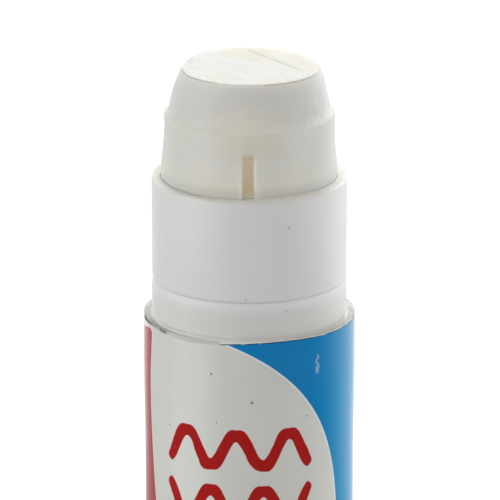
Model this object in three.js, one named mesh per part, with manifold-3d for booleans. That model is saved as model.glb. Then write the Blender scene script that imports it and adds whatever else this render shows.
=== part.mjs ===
// A twist-up glue stick with its cap taken off and standing beside it, in millimetres, +Z up.
// The origin is the middle of the knob's underside, and -Y is the side that shows the label's front.

import * as THREE from "three";
import { mergeVertices } from "three/addons/utils/BufferGeometryUtils.js";
import Module from "manifold-3d";

// Fineness of the faceted faces
const roundSides = 64;
const threadSteps = 20;
const curveSteps = 5;

// Clearances
const runningGap = 0.3;
const boreGap = 0.15;
const keyGap = 0.12;
const overrun = 1;

// Barrel
const boreRadius = 11.05;
const neckWall = 1;
const bodyWall = 1.75;
const neckLength = 18.3;
const bodyLength = 60.2;
const shoulderRound = 0.35;
const rimRound = 0.25;
const neckGrooveDrop = 12.95;
const neckGrooveWidth = 0.36;
const neckGrooveDepth = 0.12;
const floorThickness = 1.4;
const skirtDepth = 2.6;
const skirtWall = 1.4;

// Ribs inside the barrel, which stop the carrier and the glue from turning
const ribCount = 2;
const ribWidth = 1.06;
const ribHeight = 0.6;
const ribDrop = 5.6;
const ribTopGap = 0.2;

// Label film
const labelThickness = 0.15;
const labelGap = 0.05;
const labelLip = 0.43;
const labelFoot = 0.8;

// Spindle
const lead = 4;
const coreRadius = 2.5;
const threadDepth = 1;
const threadRoot = 1.7;
const threadCrest = 0.9;
const threadGap = 0.2;
const spindleDrop = 8;
const spindleTaper = 1;
const collarRadius = 6;
const collarThickness = 1.5;
const journalRadius = 3.6;
const tangRadius = 2.9;
const tangSides = 6;
const tangLength = 7.7;

// Carrier
const plateThickness = 1.4;
const cupDepth = 9;
const cupWall = 1.1;
const guideDepth = 3;
const nutLength = 6;
const nutWall = 1.7;
const nutStop = 0.5;

// Glue: how far it is wound out, its moulded head and its cut top
const glueRise = 10.8;
const glueBoreGap = 0.35;
const headHeight = 5.5;
const headTopRadius = 8.5;
const headFootRadius = 9.95;
const headBulge = 0.37;
const ledgeRadius = 10.53;
const ledgeSlope = 0.15;
const ledgeBand = 3.8;
const flareLength = 3.8;

// Knob
const knobProud = 0.1;
const knobHeight = 11;
const knobGap = 0.4;
const knobFloor = 1.8;
const knobEdge = 0.5;
const knobFlutes = 40;
const knobFluteDepth = 0.45;
const knobBandMargin = 1.2;
const spigotWall = 1;
const bossRadius = 4.6;
const webCount = 4;
const webThickness = 1;
const webHeight = 6;

// Cap
const capHeight = 26.5;
const capTop = 1.3;
const capWall = 0.9;
const capGap = 0.1;
const capEdge = 1.1;
const capBead = 0.08;
const capRibs = 48;
const capRibDepth = 0.22;
const capBandLow = 2.4;
const capBandHigh = 21.5;
const plugDepth = 2.5;
const plugSeal = 4;
const plugNarrowing = 0.5;
const plugGap = 0.1;
const capPlace = new THREE.Vector2(31, -5);

// Heights, worked out from the knob up
const barrelFoot = knobHeight + knobGap;
const floorUnderside = barrelFoot + skirtDepth;
const floorTop = floorUnderside + floorThickness;
const shoulderHeight = barrelFoot + bodyLength;
const rimHeight = shoulderHeight + neckLength;
const ribTop = rimHeight - ribDrop;
const collarFoot = floorTop + runningGap;
const threadFoot = collarFoot + collarThickness;
const spindleTop = rimHeight - spindleDrop;
const bossTop = floorUnderside - runningGap;
const tangFoot = floorUnderside - tangLength;
const nutFoot = threadFoot + nutStop + glueRise;
const plateFoot = nutFoot + nutLength;
const plateTop = plateFoot + plateThickness;
const cupTop = plateTop + cupDepth;
const glueFoot = plateTop + runningGap;
const ledgeHeight = rimHeight - plugDepth + glueRise;
const glueTop = ledgeHeight + headHeight;
const grooveTop = ribTop + glueRise + ribTopGap;

// Radii, worked out from the bore
const neckRadius = boreRadius + neckWall;
const bodyRadius = boreRadius + bodyWall;
const skirtRadius = bodyRadius - skirtWall;
const labelRadius = bodyRadius + labelGap;
const pistonRadius = boreRadius - boreGap;
const cupRadius = pistonRadius - cupWall;
const ribRadius = boreRadius - ribHeight;
const crestRadius = coreRadius + threadDepth;
const nutRadius = crestRadius + threadGap + nutWall;
const knobRadius = bodyRadius + knobProud;
const spigotRadius = skirtRadius - runningGap;
const knobCavity = spigotRadius - spigotWall;
const capBore = neckRadius + capGap;
const capRadius = capBore + capWall;

const wasm = await Module();
wasm.setup();

// The solid that a closed three.js geometry bounds.
function solidOf(geometry) {
  geometry.deleteAttribute("normal");
  geometry.deleteAttribute("uv");
  const merged = mergeVertices(geometry, 1e-4);
  const mesh = new wasm.Mesh({
    numProp: 3,
    vertProperties: merged.attributes.position.array,
    triVerts: new Uint32Array(merged.index.array),
  });
  return new wasm.Manifold(mesh);
}

// A solid turned about Z. The outline is a list of [radius, height], anticlockwise with the radius to the right.
// One that starts and ends on the axis is left as it is, and any other is closed on its first point.
function turned(outline) {
  const points = outline.map(([radius, height]) => new THREE.Vector2(radius, height));
  if (points[0].x > 0) points.push(points[0].clone());
  return solidOf(new THREE.LatheGeometry(points, roundSides).rotateX(Math.PI / 2));
}

// A plain cylinder, or a prism with few sides, between two heights.
function post(radius, low, high, sides = roundSides) {
  const geometry = new THREE.CylinderGeometry(radius, radius, high - low, sides);
  return solidOf(geometry.rotateX(Math.PI / 2).translate(0, 0, (low + high) / 2));
}

// A bar along a radius, between two radii and two heights, at a bearing in radians.
function bar(width, inner, outer, low, high, bearing) {
  const geometry = new THREE.BoxGeometry(outer - inner, width, high - low);
  geometry.translate((inner + outer) / 2, 0, (low + high) / 2);
  return solidOf(geometry.rotateZ(bearing));
}

// The bearings of equally spaced features, the first at the front.
function bearings(count) {
  return Array.from({ length: count }, (_, i) => -Math.PI / 2 + (2 * Math.PI * i) / count);
}

// Bars at the bearings of the barrel's ribs, which make the ribs and the slots that run on them.
function ribBars(width, inner, outer, low, high) {
  return bearings(ribCount).map((bearing) => bar(width, inner, outer, low, high, bearing));
}

// What is cut out of a round wall to leave upright ribs between two heights.
function gripCut(radius, depth, count, low, high) {
  const step = (2 * Math.PI) / count;
  const tooth = [
    [-0.26, radius + depth],
    [0.26, radius + depth],
    [0.36, radius - depth],
    [0.64, radius - depth],
  ];
  const outline = Array.from({ length: count }, (_, i) =>
    tooth.map(([share, reach]) => {
      const angle = (i + share) * step;
      return new THREE.Vector2(reach * Math.cos(angle), reach * Math.sin(angle));
    }),
  ).flat();
  const geometry = new THREE.ExtrudeGeometry(new THREE.Shape(outline), {
    depth: high - low + 2 * overrun,
    bevelEnabled: false,
  });
  const ribbed = solidOf(geometry.translate(0, 0, low - overrun));
  const band = turned([
    [radius - 2 * depth, low],
    [radius + overrun, low],
    [radius + overrun, high],
    [radius - 2 * depth, high],
  ]);
  return band.subtract(ribbed);
}

// A left-handed screw about Z between two heights, grown by a clearance. At angle 0 the middle of its ridge
// passes through height 0, so screws made apart from each other mesh.
function screw(low, high, clearance) {
  const core = coreRadius + clearance;
  const crest = crestRadius + clearance;
  const section = [
    [core, -threadRoot / 2 - clearance],
    [crest, -threadCrest / 2 - clearance],
    [crest, threadCrest / 2 + clearance],
    [core, threadRoot / 2 + clearance],
  ];
  const firstTurn = Math.floor(low / lead) - 2;
  const lastTurn = Math.ceil(high / lead) + 2;
  const steps = (lastTurn - firstTurn) * threadSteps;
  const corners = section.length;
  const positions = [];
  for (let i = 0; i <= steps; i += 1) {
    const height = (firstTurn + i / threadSteps) * lead;
    const angle = (-2 * Math.PI * i) / threadSteps;
    for (const [radius, rise] of section) {
      positions.push(radius * Math.cos(angle), radius * Math.sin(angle), height + rise);
    }
  }
  const corner = (step, k) => step * corners + k;
  const faces = [];
  const quad = (a, b, c, d) => faces.push(a, b, c, a, c, d);
  for (let i = 0; i < steps; i += 1) {
    for (let k = 0; k + 1 < corners; k += 1) {
      quad(corner(i, k), corner(i, k + 1), corner(i + 1, k + 1), corner(i + 1, k));
    }
    if (i + threadSteps < steps) {
      const above = i + threadSteps;
      quad(corner(i, corners - 1), corner(above, 0), corner(above + 1, 0), corner(i + 1, corners - 1));
    }
  }
  // Each end is closed by a fan from the axis to the free edge: the section's outline and one turn of its foot.
  const turnOf = (first, k) => Array.from({ length: threadSteps + 1 }, (_, i) => corner(first + i, k));
  const outlineOf = (step) => section.map((_, k) => corner(step, k));
  const lowEdge = [...outlineOf(0), ...turnOf(0, 0).reverse()];
  const highEdge = [...outlineOf(steps).reverse(), ...turnOf(steps - threadSteps, corners - 1)];
  for (const edge of [lowEdge, highEdge]) {
    const middle = positions.length / 3;
    positions.push(0, 0, positions[3 * edge[edge.length - 1] + 2]);
    for (let i = 0; i + 1 < edge.length; i += 1) faces.push(middle, edge[i + 1], edge[i]);
  }
  const geometry = new THREE.BufferGeometry();
  geometry.setAttribute("position", new THREE.Float32BufferAttribute(positions, 3));
  geometry.setIndex(faces);
  return solidOf(geometry).intersect(post(crest + overrun, low, high));
}

function barrel() {
  const grooveMiddle = rimHeight - neckGrooveDrop;
  const grooveHalf = neckGrooveWidth / 2;
  const shell = turned([
    [skirtRadius, barrelFoot],
    [bodyRadius - rimRound, barrelFoot],
    [bodyRadius, barrelFoot + rimRound],
    [bodyRadius, shoulderHeight - shoulderRound],
    [bodyRadius - shoulderRound, shoulderHeight],
    [neckRadius, shoulderHeight],
    [neckRadius, grooveMiddle - grooveHalf],
    [neckRadius - neckGrooveDepth, grooveMiddle],
    [neckRadius, grooveMiddle + grooveHalf],
    [neckRadius, rimHeight - rimRound],
    [neckRadius - rimRound, rimHeight],
    [boreRadius + rimRound, rimHeight],
    [boreRadius, rimHeight - rimRound],
    [boreRadius, floorTop],
    [journalRadius + boreGap, floorTop],
    [journalRadius + boreGap, floorUnderside],
    [skirtRadius, floorUnderside],
  ]);
  const wallMiddle = boreRadius + neckWall / 2;
  const ribs = ribBars(ribWidth, ribRadius, wallMiddle, floorTop - floorThickness / 2, ribTop);
  return ribs.reduce((solid, rib) => solid.add(rib), shell);
}

function labelSleeve() {
  return turned([
    [labelRadius, barrelFoot + labelFoot],
    [labelRadius + labelThickness, barrelFoot + labelFoot],
    [labelRadius + labelThickness, shoulderHeight + labelLip],
    [labelRadius, shoulderHeight + labelLip],
  ]);
}

function carrier() {
  const cup = turned([
    [coreRadius, nutFoot],
    [nutRadius, nutFoot],
    [nutRadius, plateFoot],
    [cupRadius, plateFoot],
    [cupRadius, plateFoot - guideDepth],
    [pistonRadius, plateFoot - guideDepth],
    [pistonRadius, cupTop],
    [cupRadius, cupTop],
    [cupRadius, plateTop],
    [coreRadius, plateTop],
  ]);
  const threaded = cup.subtract(screw(nutFoot - overrun, plateTop + overrun, threadGap));
  const low = Math.min(nutFoot, plateFoot - guideDepth) - overrun;
  const slotWidth = ribWidth + 2 * keyGap;
  const slots = ribBars(slotWidth, ribRadius - keyGap, boreRadius + overrun, low, cupTop + overrun);
  return slots.reduce((solid, slot) => solid.subtract(slot), threaded);
}

// The moulded side of the glue's head, from its foot up to the edge of the cut top, as [radius, height]. The
// cap's plug is shaped round it, with the height of its foot and a clearance of its own.
function headSide(footHeight, clearance) {
  const side = new THREE.QuadraticBezierCurve(
    new THREE.Vector2(headFootRadius, footHeight + ledgeSlope),
    new THREE.Vector2((headFootRadius + headTopRadius) / 2 + headBulge, footHeight + headHeight / 2),
    new THREE.Vector2(headTopRadius, footHeight + headHeight),
  );
  return side.getPoints(curveSteps).map((point) => [point.x + clearance, point.y]);
}

function glue() {
  const boreTop = spindleTop + glueRise + 2 * runningGap;
  const boreSide = crestRadius + glueBoreGap;
  const footRadius = cupRadius - boreGap;
  const mass = turned([
    [0, boreTop],
    [boreSide, boreTop],
    [boreSide, glueFoot],
    [footRadius, glueFoot],
    [footRadius, cupTop + runningGap],
    [pistonRadius, cupTop + runningGap],
    [pistonRadius, ledgeHeight - ledgeBand - flareLength],
    [ledgeRadius, ledgeHeight - ledgeBand],
    [ledgeRadius, ledgeHeight],
    ...headSide(ledgeHeight, 0),
    [0, glueTop],
  ]);
  const grooveWidth = ribWidth + 2 * keyGap;
  const low = glueFoot - overrun;
  const grooves = ribBars(grooveWidth, ribRadius - keyGap, boreRadius + overrun, low, grooveTop);
  return grooves.reduce((solid, groove) => solid.subtract(groove), mass);
}

function spindle() {
  const threadedRod = screw(threadFoot - collarThickness / 2, spindleTop, 0);
  const taper = turned([
    [0, collarFoot],
    [crestRadius + overrun, collarFoot],
    [crestRadius + overrun, spindleTop - spindleTaper - overrun],
    [crestRadius - threadDepth, spindleTop],
    [0, spindleTop],
  ]);
  const journal = turned([
    [0, floorUnderside],
    [journalRadius, floorUnderside],
    [journalRadius, collarFoot],
    [collarRadius, collarFoot],
    [collarRadius, threadFoot],
    [0, threadFoot],
  ]);
  const tang = post(tangRadius, tangFoot, floorUnderside + floorThickness / 2, tangSides);
  return threadedRod.intersect(taper).add(journal).add(tang);
}

function knob() {
  const cup = turned([
    [0, 0],
    [knobRadius - knobEdge, 0],
    [knobRadius, knobEdge],
    [knobRadius, knobHeight - knobEdge],
    [knobRadius - knobEdge, knobHeight],
    [spigotRadius, knobHeight],
    [spigotRadius, bossTop],
    [knobCavity, bossTop],
    [knobCavity, knobFloor],
    [0, knobFloor],
  ]);
  const bandTop = knobHeight - knobBandMargin;
  const flutes = gripCut(knobRadius, knobFluteDepth, knobFlutes, knobBandMargin, bandTop);
  const boss = post(bossRadius, knobFloor / 2, bossTop);
  const socketFoot = tangFoot - runningGap;
  const socket = post(tangRadius + keyGap, socketFoot, bossTop + overrun, tangSides);
  const webTop = knobFloor + webHeight;
  const webs = bearings(webCount).map((bearing) =>
    bar(webThickness, bossRadius - webThickness, knobCavity + spigotWall / 2, knobFloor / 2, webTop, bearing),
  );
  return webs.reduce((solid, web) => solid.add(web), cup.subtract(flutes).add(boss)).subtract(socket);
}

function cap() {
  const ceiling = capHeight - capTop;
  const plugFoot = neckLength - plugDepth;
  const plugOuter = boreRadius - plugGap;
  const beadHeight = neckLength - neckGrooveDrop;
  const plugInside = headSide(plugFoot, plugGap).reverse();
  const edge = new THREE.EllipseCurve(
    capRadius - capEdge, capHeight - capEdge, capEdge, capEdge, 0, Math.PI / 2,
  );
  const shell = turned([
    [0, ceiling],
    [headTopRadius + plugGap, ceiling],
    ...plugInside,
    [headFootRadius + plugGap, plugFoot],
    [plugOuter - plugGap, plugFoot],
    [plugOuter, plugFoot + plugGap],
    [plugOuter, plugFoot + plugSeal],
    [plugOuter - plugNarrowing, plugFoot + plugSeal + plugNarrowing],
    [plugOuter - plugNarrowing, ceiling],
    [capBore, ceiling],
    [capBore, beadHeight + neckGrooveWidth / 2],
    [capBore - capBead, beadHeight],
    [capBore, beadHeight - neckGrooveWidth / 2],
    [capBore, rimRound],
    [capBore + rimRound, 0],
    [capRadius - rimRound, 0],
    [capRadius, rimRound],
    ...edge.getPoints(curveSteps).map((point) => [point.x, point.y]),
    [0, capHeight],
  ]);
  return shell.subtract(gripCut(capRadius, capRibDepth, capRibs, capBandLow, capBandHigh));
}

// A named mesh with its own material.
function piece(name, solid, color, roughness) {
  const mesh = solid.getMesh();
  const geometry = new THREE.BufferGeometry();
  geometry.setAttribute("position", new THREE.Float32BufferAttribute(mesh.vertProperties, 3));
  geometry.setIndex(new THREE.Uint32BufferAttribute(mesh.triVerts, 1));
  geometry.computeVertexNormals();
  const material = new THREE.MeshStandardMaterial({ color, roughness, metalness: 0 });
  const made = new THREE.Mesh(geometry, material);
  made.name = name;
  return made;
}

const white = 0xf0eeec;
const stick = new THREE.Group();
stick.add(piece("barrel", barrel(), white, 0.42));
stick.add(piece("label_sleeve", labelSleeve(), 0x3f86b8, 0.25));
stick.add(piece("carrier", carrier(), white, 0.45));
stick.add(piece("glue", glue(), 0xece9df, 0.55));
stick.add(piece("spindle", spindle(), white, 0.45));
stick.add(piece("knob", knob(), white, 0.42));

const cover = piece("cap", cap(), white, 0.42);
cover.position.set(capPlace.x, capPlace.y, 0);
stick.add(cover);

export default stick;
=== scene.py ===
"""The looks of a twist-up glue stick that stands open with its cap beside it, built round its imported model.

Sizes are in millimetres and meshes in metres. A bearing is an angle about a piece's upright axis, in radians,
counted from the front of the label, -Y, towards +X.
"""

import logging
import math
from collections.abc import Callable, Iterable, Sequence
from dataclasses import dataclass, field
from enum import Enum

import bmesh
import bpy
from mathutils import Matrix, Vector, noise
from mathutils.geometry import delaunay_2d_cdt


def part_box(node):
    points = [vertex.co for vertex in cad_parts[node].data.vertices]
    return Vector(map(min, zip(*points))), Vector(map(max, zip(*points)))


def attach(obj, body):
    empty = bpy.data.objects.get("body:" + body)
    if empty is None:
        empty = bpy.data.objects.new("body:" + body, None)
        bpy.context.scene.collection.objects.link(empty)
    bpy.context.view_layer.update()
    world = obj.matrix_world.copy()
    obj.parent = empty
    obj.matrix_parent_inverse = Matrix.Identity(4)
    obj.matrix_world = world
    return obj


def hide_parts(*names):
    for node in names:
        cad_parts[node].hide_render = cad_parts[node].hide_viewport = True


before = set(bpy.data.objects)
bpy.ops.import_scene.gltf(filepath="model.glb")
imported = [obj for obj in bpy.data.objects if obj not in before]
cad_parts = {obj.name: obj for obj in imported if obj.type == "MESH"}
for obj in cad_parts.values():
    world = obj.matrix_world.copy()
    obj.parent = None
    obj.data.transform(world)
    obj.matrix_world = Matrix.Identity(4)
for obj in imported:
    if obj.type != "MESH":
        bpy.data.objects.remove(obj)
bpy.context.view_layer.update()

MM = 0.001
TURN = 2 * math.pi

log = logging.getLogger("glue_stick")

Colour = tuple[float, float, float]
Place = tuple[float, float]
Span = tuple[float, float]
Mark = tuple[float, float, float]
Ring = Callable[[float], Place]
Points = list[bmesh.types.BMVert]


def srgb(red: int, green: int, blue: int) -> Colour:
    """The linear colour of an sRGB colour.

    Args:
        red: The red channel, from 0 to 255.
        green: The green channel.
        blue: The blue channel.

    Returns:
        The three linear channels, from 0 to 1.
    """

    def linear(step: int) -> float:
        """One channel, made linear."""
        share = step / 255
        return share / 12.92 if share <= 0.04045 else ((share + 0.055) / 1.055) ** 2.4

    return linear(red), linear(green), linear(blue)


def smooth(low: float, high: float, value: float) -> float:
    """0 below low, 1 above high, and a smooth step between them."""
    share = min(max((value - low) / (high - low), 0.0), 1.0)
    return share * share * (3 - 2 * share)


def hump(away: float, reach: float) -> float:
    """1 in the middle of a smooth hump, and 0 well outside its reach."""
    return math.exp(-((away / reach) ** 2))


def turned_from(middle: float, bearing: float) -> float:
    """How far a bearing is turned from a middle, from minus half a turn to plus half a turn."""
    return (bearing - middle + math.pi) % TURN - math.pi


def rumple(bearing: float, height: float, patch: float, seed: float, stretch: float = 1.0) -> float:
    """A smooth random value on a cylinder.

    Args:
        bearing: The bearing of the place.
        height: Its height in millimetres.
        patch: The size of the patches in millimetres, on a cylinder of 10 mm radius.
        seed: Which pattern it is.
        stretch: How many times taller than wide the patches are.

    Returns:
        The value, from -1 to 1.
    """
    around = 10 / patch
    level = height / (patch * stretch) + seed
    return noise.noise(Vector((around * math.sin(bearing), around * math.cos(bearing), level)))


# Shader nodes


class Wire:
    """A value that runs from one shader node to the next, with operators that add Math nodes."""

    def __init__(self, shader: "Shader", socket: bpy.types.NodeSocket) -> None:
        """Wraps an output socket of one of the shader's nodes."""
        self.shader = shader
        self.socket = socket

    def __add__(self, other: "Wire | float") -> "Wire":
        """Self plus other."""
        return self.shader.maths("ADD", self, other)

    __radd__ = __add__

    def __sub__(self, other: "Wire | float") -> "Wire":
        """Self minus other."""
        return self.shader.maths("SUBTRACT", self, other)

    def __rsub__(self, other: float) -> "Wire":
        """Other minus self."""
        return self.shader.maths("SUBTRACT", other, self)

    def __mul__(self, other: "Wire | float") -> "Wire":
        """Self times other."""
        return self.shader.maths("MULTIPLY", self, other)

    __rmul__ = __mul__

    def __truediv__(self, other: "Wire | float") -> "Wire":
        """Self over other."""
        return self.shader.maths("DIVIDE", self, other)

    def __neg__(self) -> "Wire":
        """Minus self."""
        return self * -1.0

    def __abs__(self) -> "Wire":
        """Self without its sign."""
        return self.shader.maths("ABSOLUTE", self)

    def rise(self, low: "Wire | float", high: "Wire | float") -> "Wire":
        """0 where self is below low, 1 where it is above high, and a smooth step between them."""
        inputs = {"Value": self, "From Min": low, "From Max": high}
        return self.shader.node("ShaderNodeMapRange", {"interpolation_type": "SMOOTHSTEP"}, inputs)

    def fall(self, low: "Wire | float", high: "Wire | float") -> "Wire":
        """1 where self is below low, 0 where it is above high, and a smooth step between them."""
        return 1 - self.rise(low, high)

    def between(self, start: Span, end: Span) -> "Wire":
        """1 between two spans over which it changes smoothly, and 0 outside them."""
        return self.rise(*start) * self.fall(*end)

    def near(self, middle: float, full: float, none: float) -> "Wire":
        """1 where self is less than full from a middle, and 0 where it is more than none from it."""
        return abs(self - middle).fall(full, none)


class Shader:
    """A tree of shader nodes, for a material or for the world."""

    def __init__(self, tree: bpy.types.NodeTree) -> None:
        """Empties a node tree."""
        self.tree = tree
        self.tree.nodes.clear()

    def node(
        self,
        kind: str,
        settings: dict[str, object] | None = None,
        inputs: dict[str | int, object] | None = None,
        output: str | int = 0,
    ) -> Wire | None:
        """Adds a node.

        Args:
            kind: The node's type.
            settings: Its settings, which are set first.
            inputs: The values, or the wires, of its sockets by name or number.
            output: The name or number of the output to give back.

        Returns:
            A wire from that output, or None from a node that has none.
        """
        made = self.tree.nodes.new(kind)
        for name, value in (settings or {}).items():
            setattr(made, name, value)
        for key, value in (inputs or {}).items():
            socket = made.inputs[key]
            if isinstance(value, Wire):
                self.tree.links.new(value.socket, socket)
            elif socket.type == "RGBA":
                socket.default_value = (*value, 1.0)
            else:
                socket.default_value = value
        return Wire(self, made.outputs[output]) if len(made.outputs) else None

    def maths(self, operation: str, *values: Wire | float) -> Wire:
        """The result of a Math node on some values."""
        return self.node("ShaderNodeMath", {"operation": operation}, dict(enumerate(values)))

    def length(self, side: Wire, rise: Wire) -> Wire:
        """The length of a line that goes so far to the side and so far up."""
        return self.maths("SQRT", side * side + rise * rise)

    def mix(self, share: Wire | float, first: Wire | Colour, second: Wire | Colour) -> Wire:
        """A colour that goes from first to second as share goes from 0 to 1."""
        return self.node("ShaderNodeMix", {"data_type": "RGBA"}, {0: share, 6: first, 7: second}, output=2)

    def split(self, vector: Wire) -> tuple[Wire, Wire, Wire]:
        """Takes a vector apart.

        Args:
            vector: The vector.

        Returns:
            Its three parts.
        """
        first = self.node("ShaderNodeSeparateXYZ", inputs={0: vector})
        outputs = first.socket.node.outputs
        return first, Wire(self, outputs[1]), Wire(self, outputs[2])

    def place(self) -> Wire:
        """The place on the piece, in millimetres."""
        metres = self.node("ShaderNodeTexCoord", output="Object")
        return self.node("ShaderNodeVectorMath", {"operation": "SCALE"}, {"Vector": metres, "Scale": 1 / MM})

    def squeezed(self, vector: Wire, upright: float) -> Wire:
        """A vector whose upright part is multiplied by a factor, which draws a texture out along it."""
        inputs = {0: vector, 1: (1.0, 1.0, upright)}
        return self.node("ShaderNodeVectorMath", {"operation": "MULTIPLY"}, inputs)

    def patches(self, vector: Wire, size: float, detail: float = 2.0, roughness: float = 0.5) -> Wire:
        """Smooth random patches, from 0 to 1, of a size in millimetres."""
        inputs = {"Vector": vector, "Scale": 1 / size, "Detail": detail, "Roughness": roughness}
        return self.node("ShaderNodeTexNoise", inputs=inputs)

    def specks(self, vector: Wire, spacing: float, size: float) -> Wire:
        """Small random specks.

        Args:
            vector: The place on the piece.
            spacing: How far apart the specks lie on average, in millimetres.
            size: How far a speck reaches, in millimetres.

        Returns:
            1 on the specks and 0 elsewhere.
        """
        away = self.node("ShaderNodeTexVoronoi", inputs={"Vector": vector, "Scale": 1 / spacing})
        reach = size / spacing
        return away.fall(reach * 0.5, reach)

    def marks(self, along: Wire, up: Wire, places: Sequence[Mark]) -> Wire | float:
        """Single round marks.

        Args:
            along: The place along the surface.
            up: The height of the place.
            places: Each mark's place along and up and its radius, in millimetres.

        Returns:
            1 on the marks and 0 elsewhere.
        """
        total = 0.0
        for middle, height, size in places:
            total = self.length(along - middle, up - height).fall(size * 0.4, size) + total
        return total

    def bump(self, height: Wire, depth: float) -> Wire:
        """A normal that is bent by a height from 0 to 1, over a depth in millimetres."""
        return self.node("ShaderNodeBump", inputs={"Height": height, "Distance": depth * MM})

    def outside(self, side: Wire, end: Wire, corner: float) -> Wire:
        """How far a place lies outside a box with round corners.

        Args:
            side: How far it lies past the box's sides.
            end: How far it lies past the box's ends.
            corner: The radius of the corners, in millimetres.

        Returns:
            The distance, which is negative inside.
        """
        over_side = self.maths("MAXIMUM", side + corner, 0.0)
        over_end = self.maths("MAXIMUM", end + corner, 0.0)
        return self.length(over_side, over_end) - corner

    def surface(self, inputs: dict[str, object]) -> None:
        """Ends a material in one Principled shader with these inputs."""
        skin = self.node("ShaderNodeBsdfPrincipled", inputs=inputs)
        self.node("ShaderNodeOutputMaterial", inputs={"Surface": skin})


def new_material(name: str) -> tuple[bpy.types.Material, Shader]:
    """Starts a material.

    Args:
        name: Its name.

    Returns:
        The empty material and its shader.
    """
    material = bpy.data.materials.new(name)
    material.use_nodes = True
    return material, Shader(material.node_tree)


# Finishes


@dataclass(frozen=True)
class MouldedPlastic:
    """White polypropylene out of a mould: satin, faintly cloudy, with fine grain and a few specks."""

    name: str
    colour: Colour = srgb(242, 240, 238)
    clouded: Colour = srgb(236, 234, 232)
    speck: Colour = srgb(120, 116, 110)
    roughness: float = 0.36
    cloud_size: float = 9.0
    cloud_stretch: float = 0.3
    grain_size: float = 0.35
    grain_depth: float = 0.006
    speck_spacing: float = 3.8
    speck_size: float = 0.12
    speck_strength: float = 0.7
    glow: float = 0.12
    glow_reach: float = 1.2

    def material(self) -> bpy.types.Material:
        """Builds the material.

        Returns:
            The material.
        """
        material, shader = new_material(self.name)
        place = shader.place()
        flow = shader.patches(shader.squeezed(place, self.cloud_stretch), self.cloud_size)
        grain = shader.patches(place, self.grain_size, detail=3)
        specks = shader.specks(place, self.speck_spacing, self.speck_size)
        colour = shader.mix(flow.rise(0.35, 0.7), self.colour, self.clouded)
        colour = shader.mix(specks * self.speck_strength, colour, self.speck)
        shader.surface(
            {
                "Base Color": self.worn(shader, place, grain, colour),
                "Roughness": self.roughness + flow * 0.1 + grain * 0.05,
                "Normal": shader.bump(grain * 0.8 + flow, self.grain_depth),
                "Subsurface Weight": self.glow,
                "Subsurface Radius": (1.0, 0.9, 0.8),
                "Subsurface Scale": self.glow_reach * MM,
            }
        )
        return material

    def worn(self, shader: Shader, place: Wire, grain: Wire, colour: Wire) -> Wire:
        """The colour with its wear, dirt and painted shade, of which this plain plastic has none."""
        return colour


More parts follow.
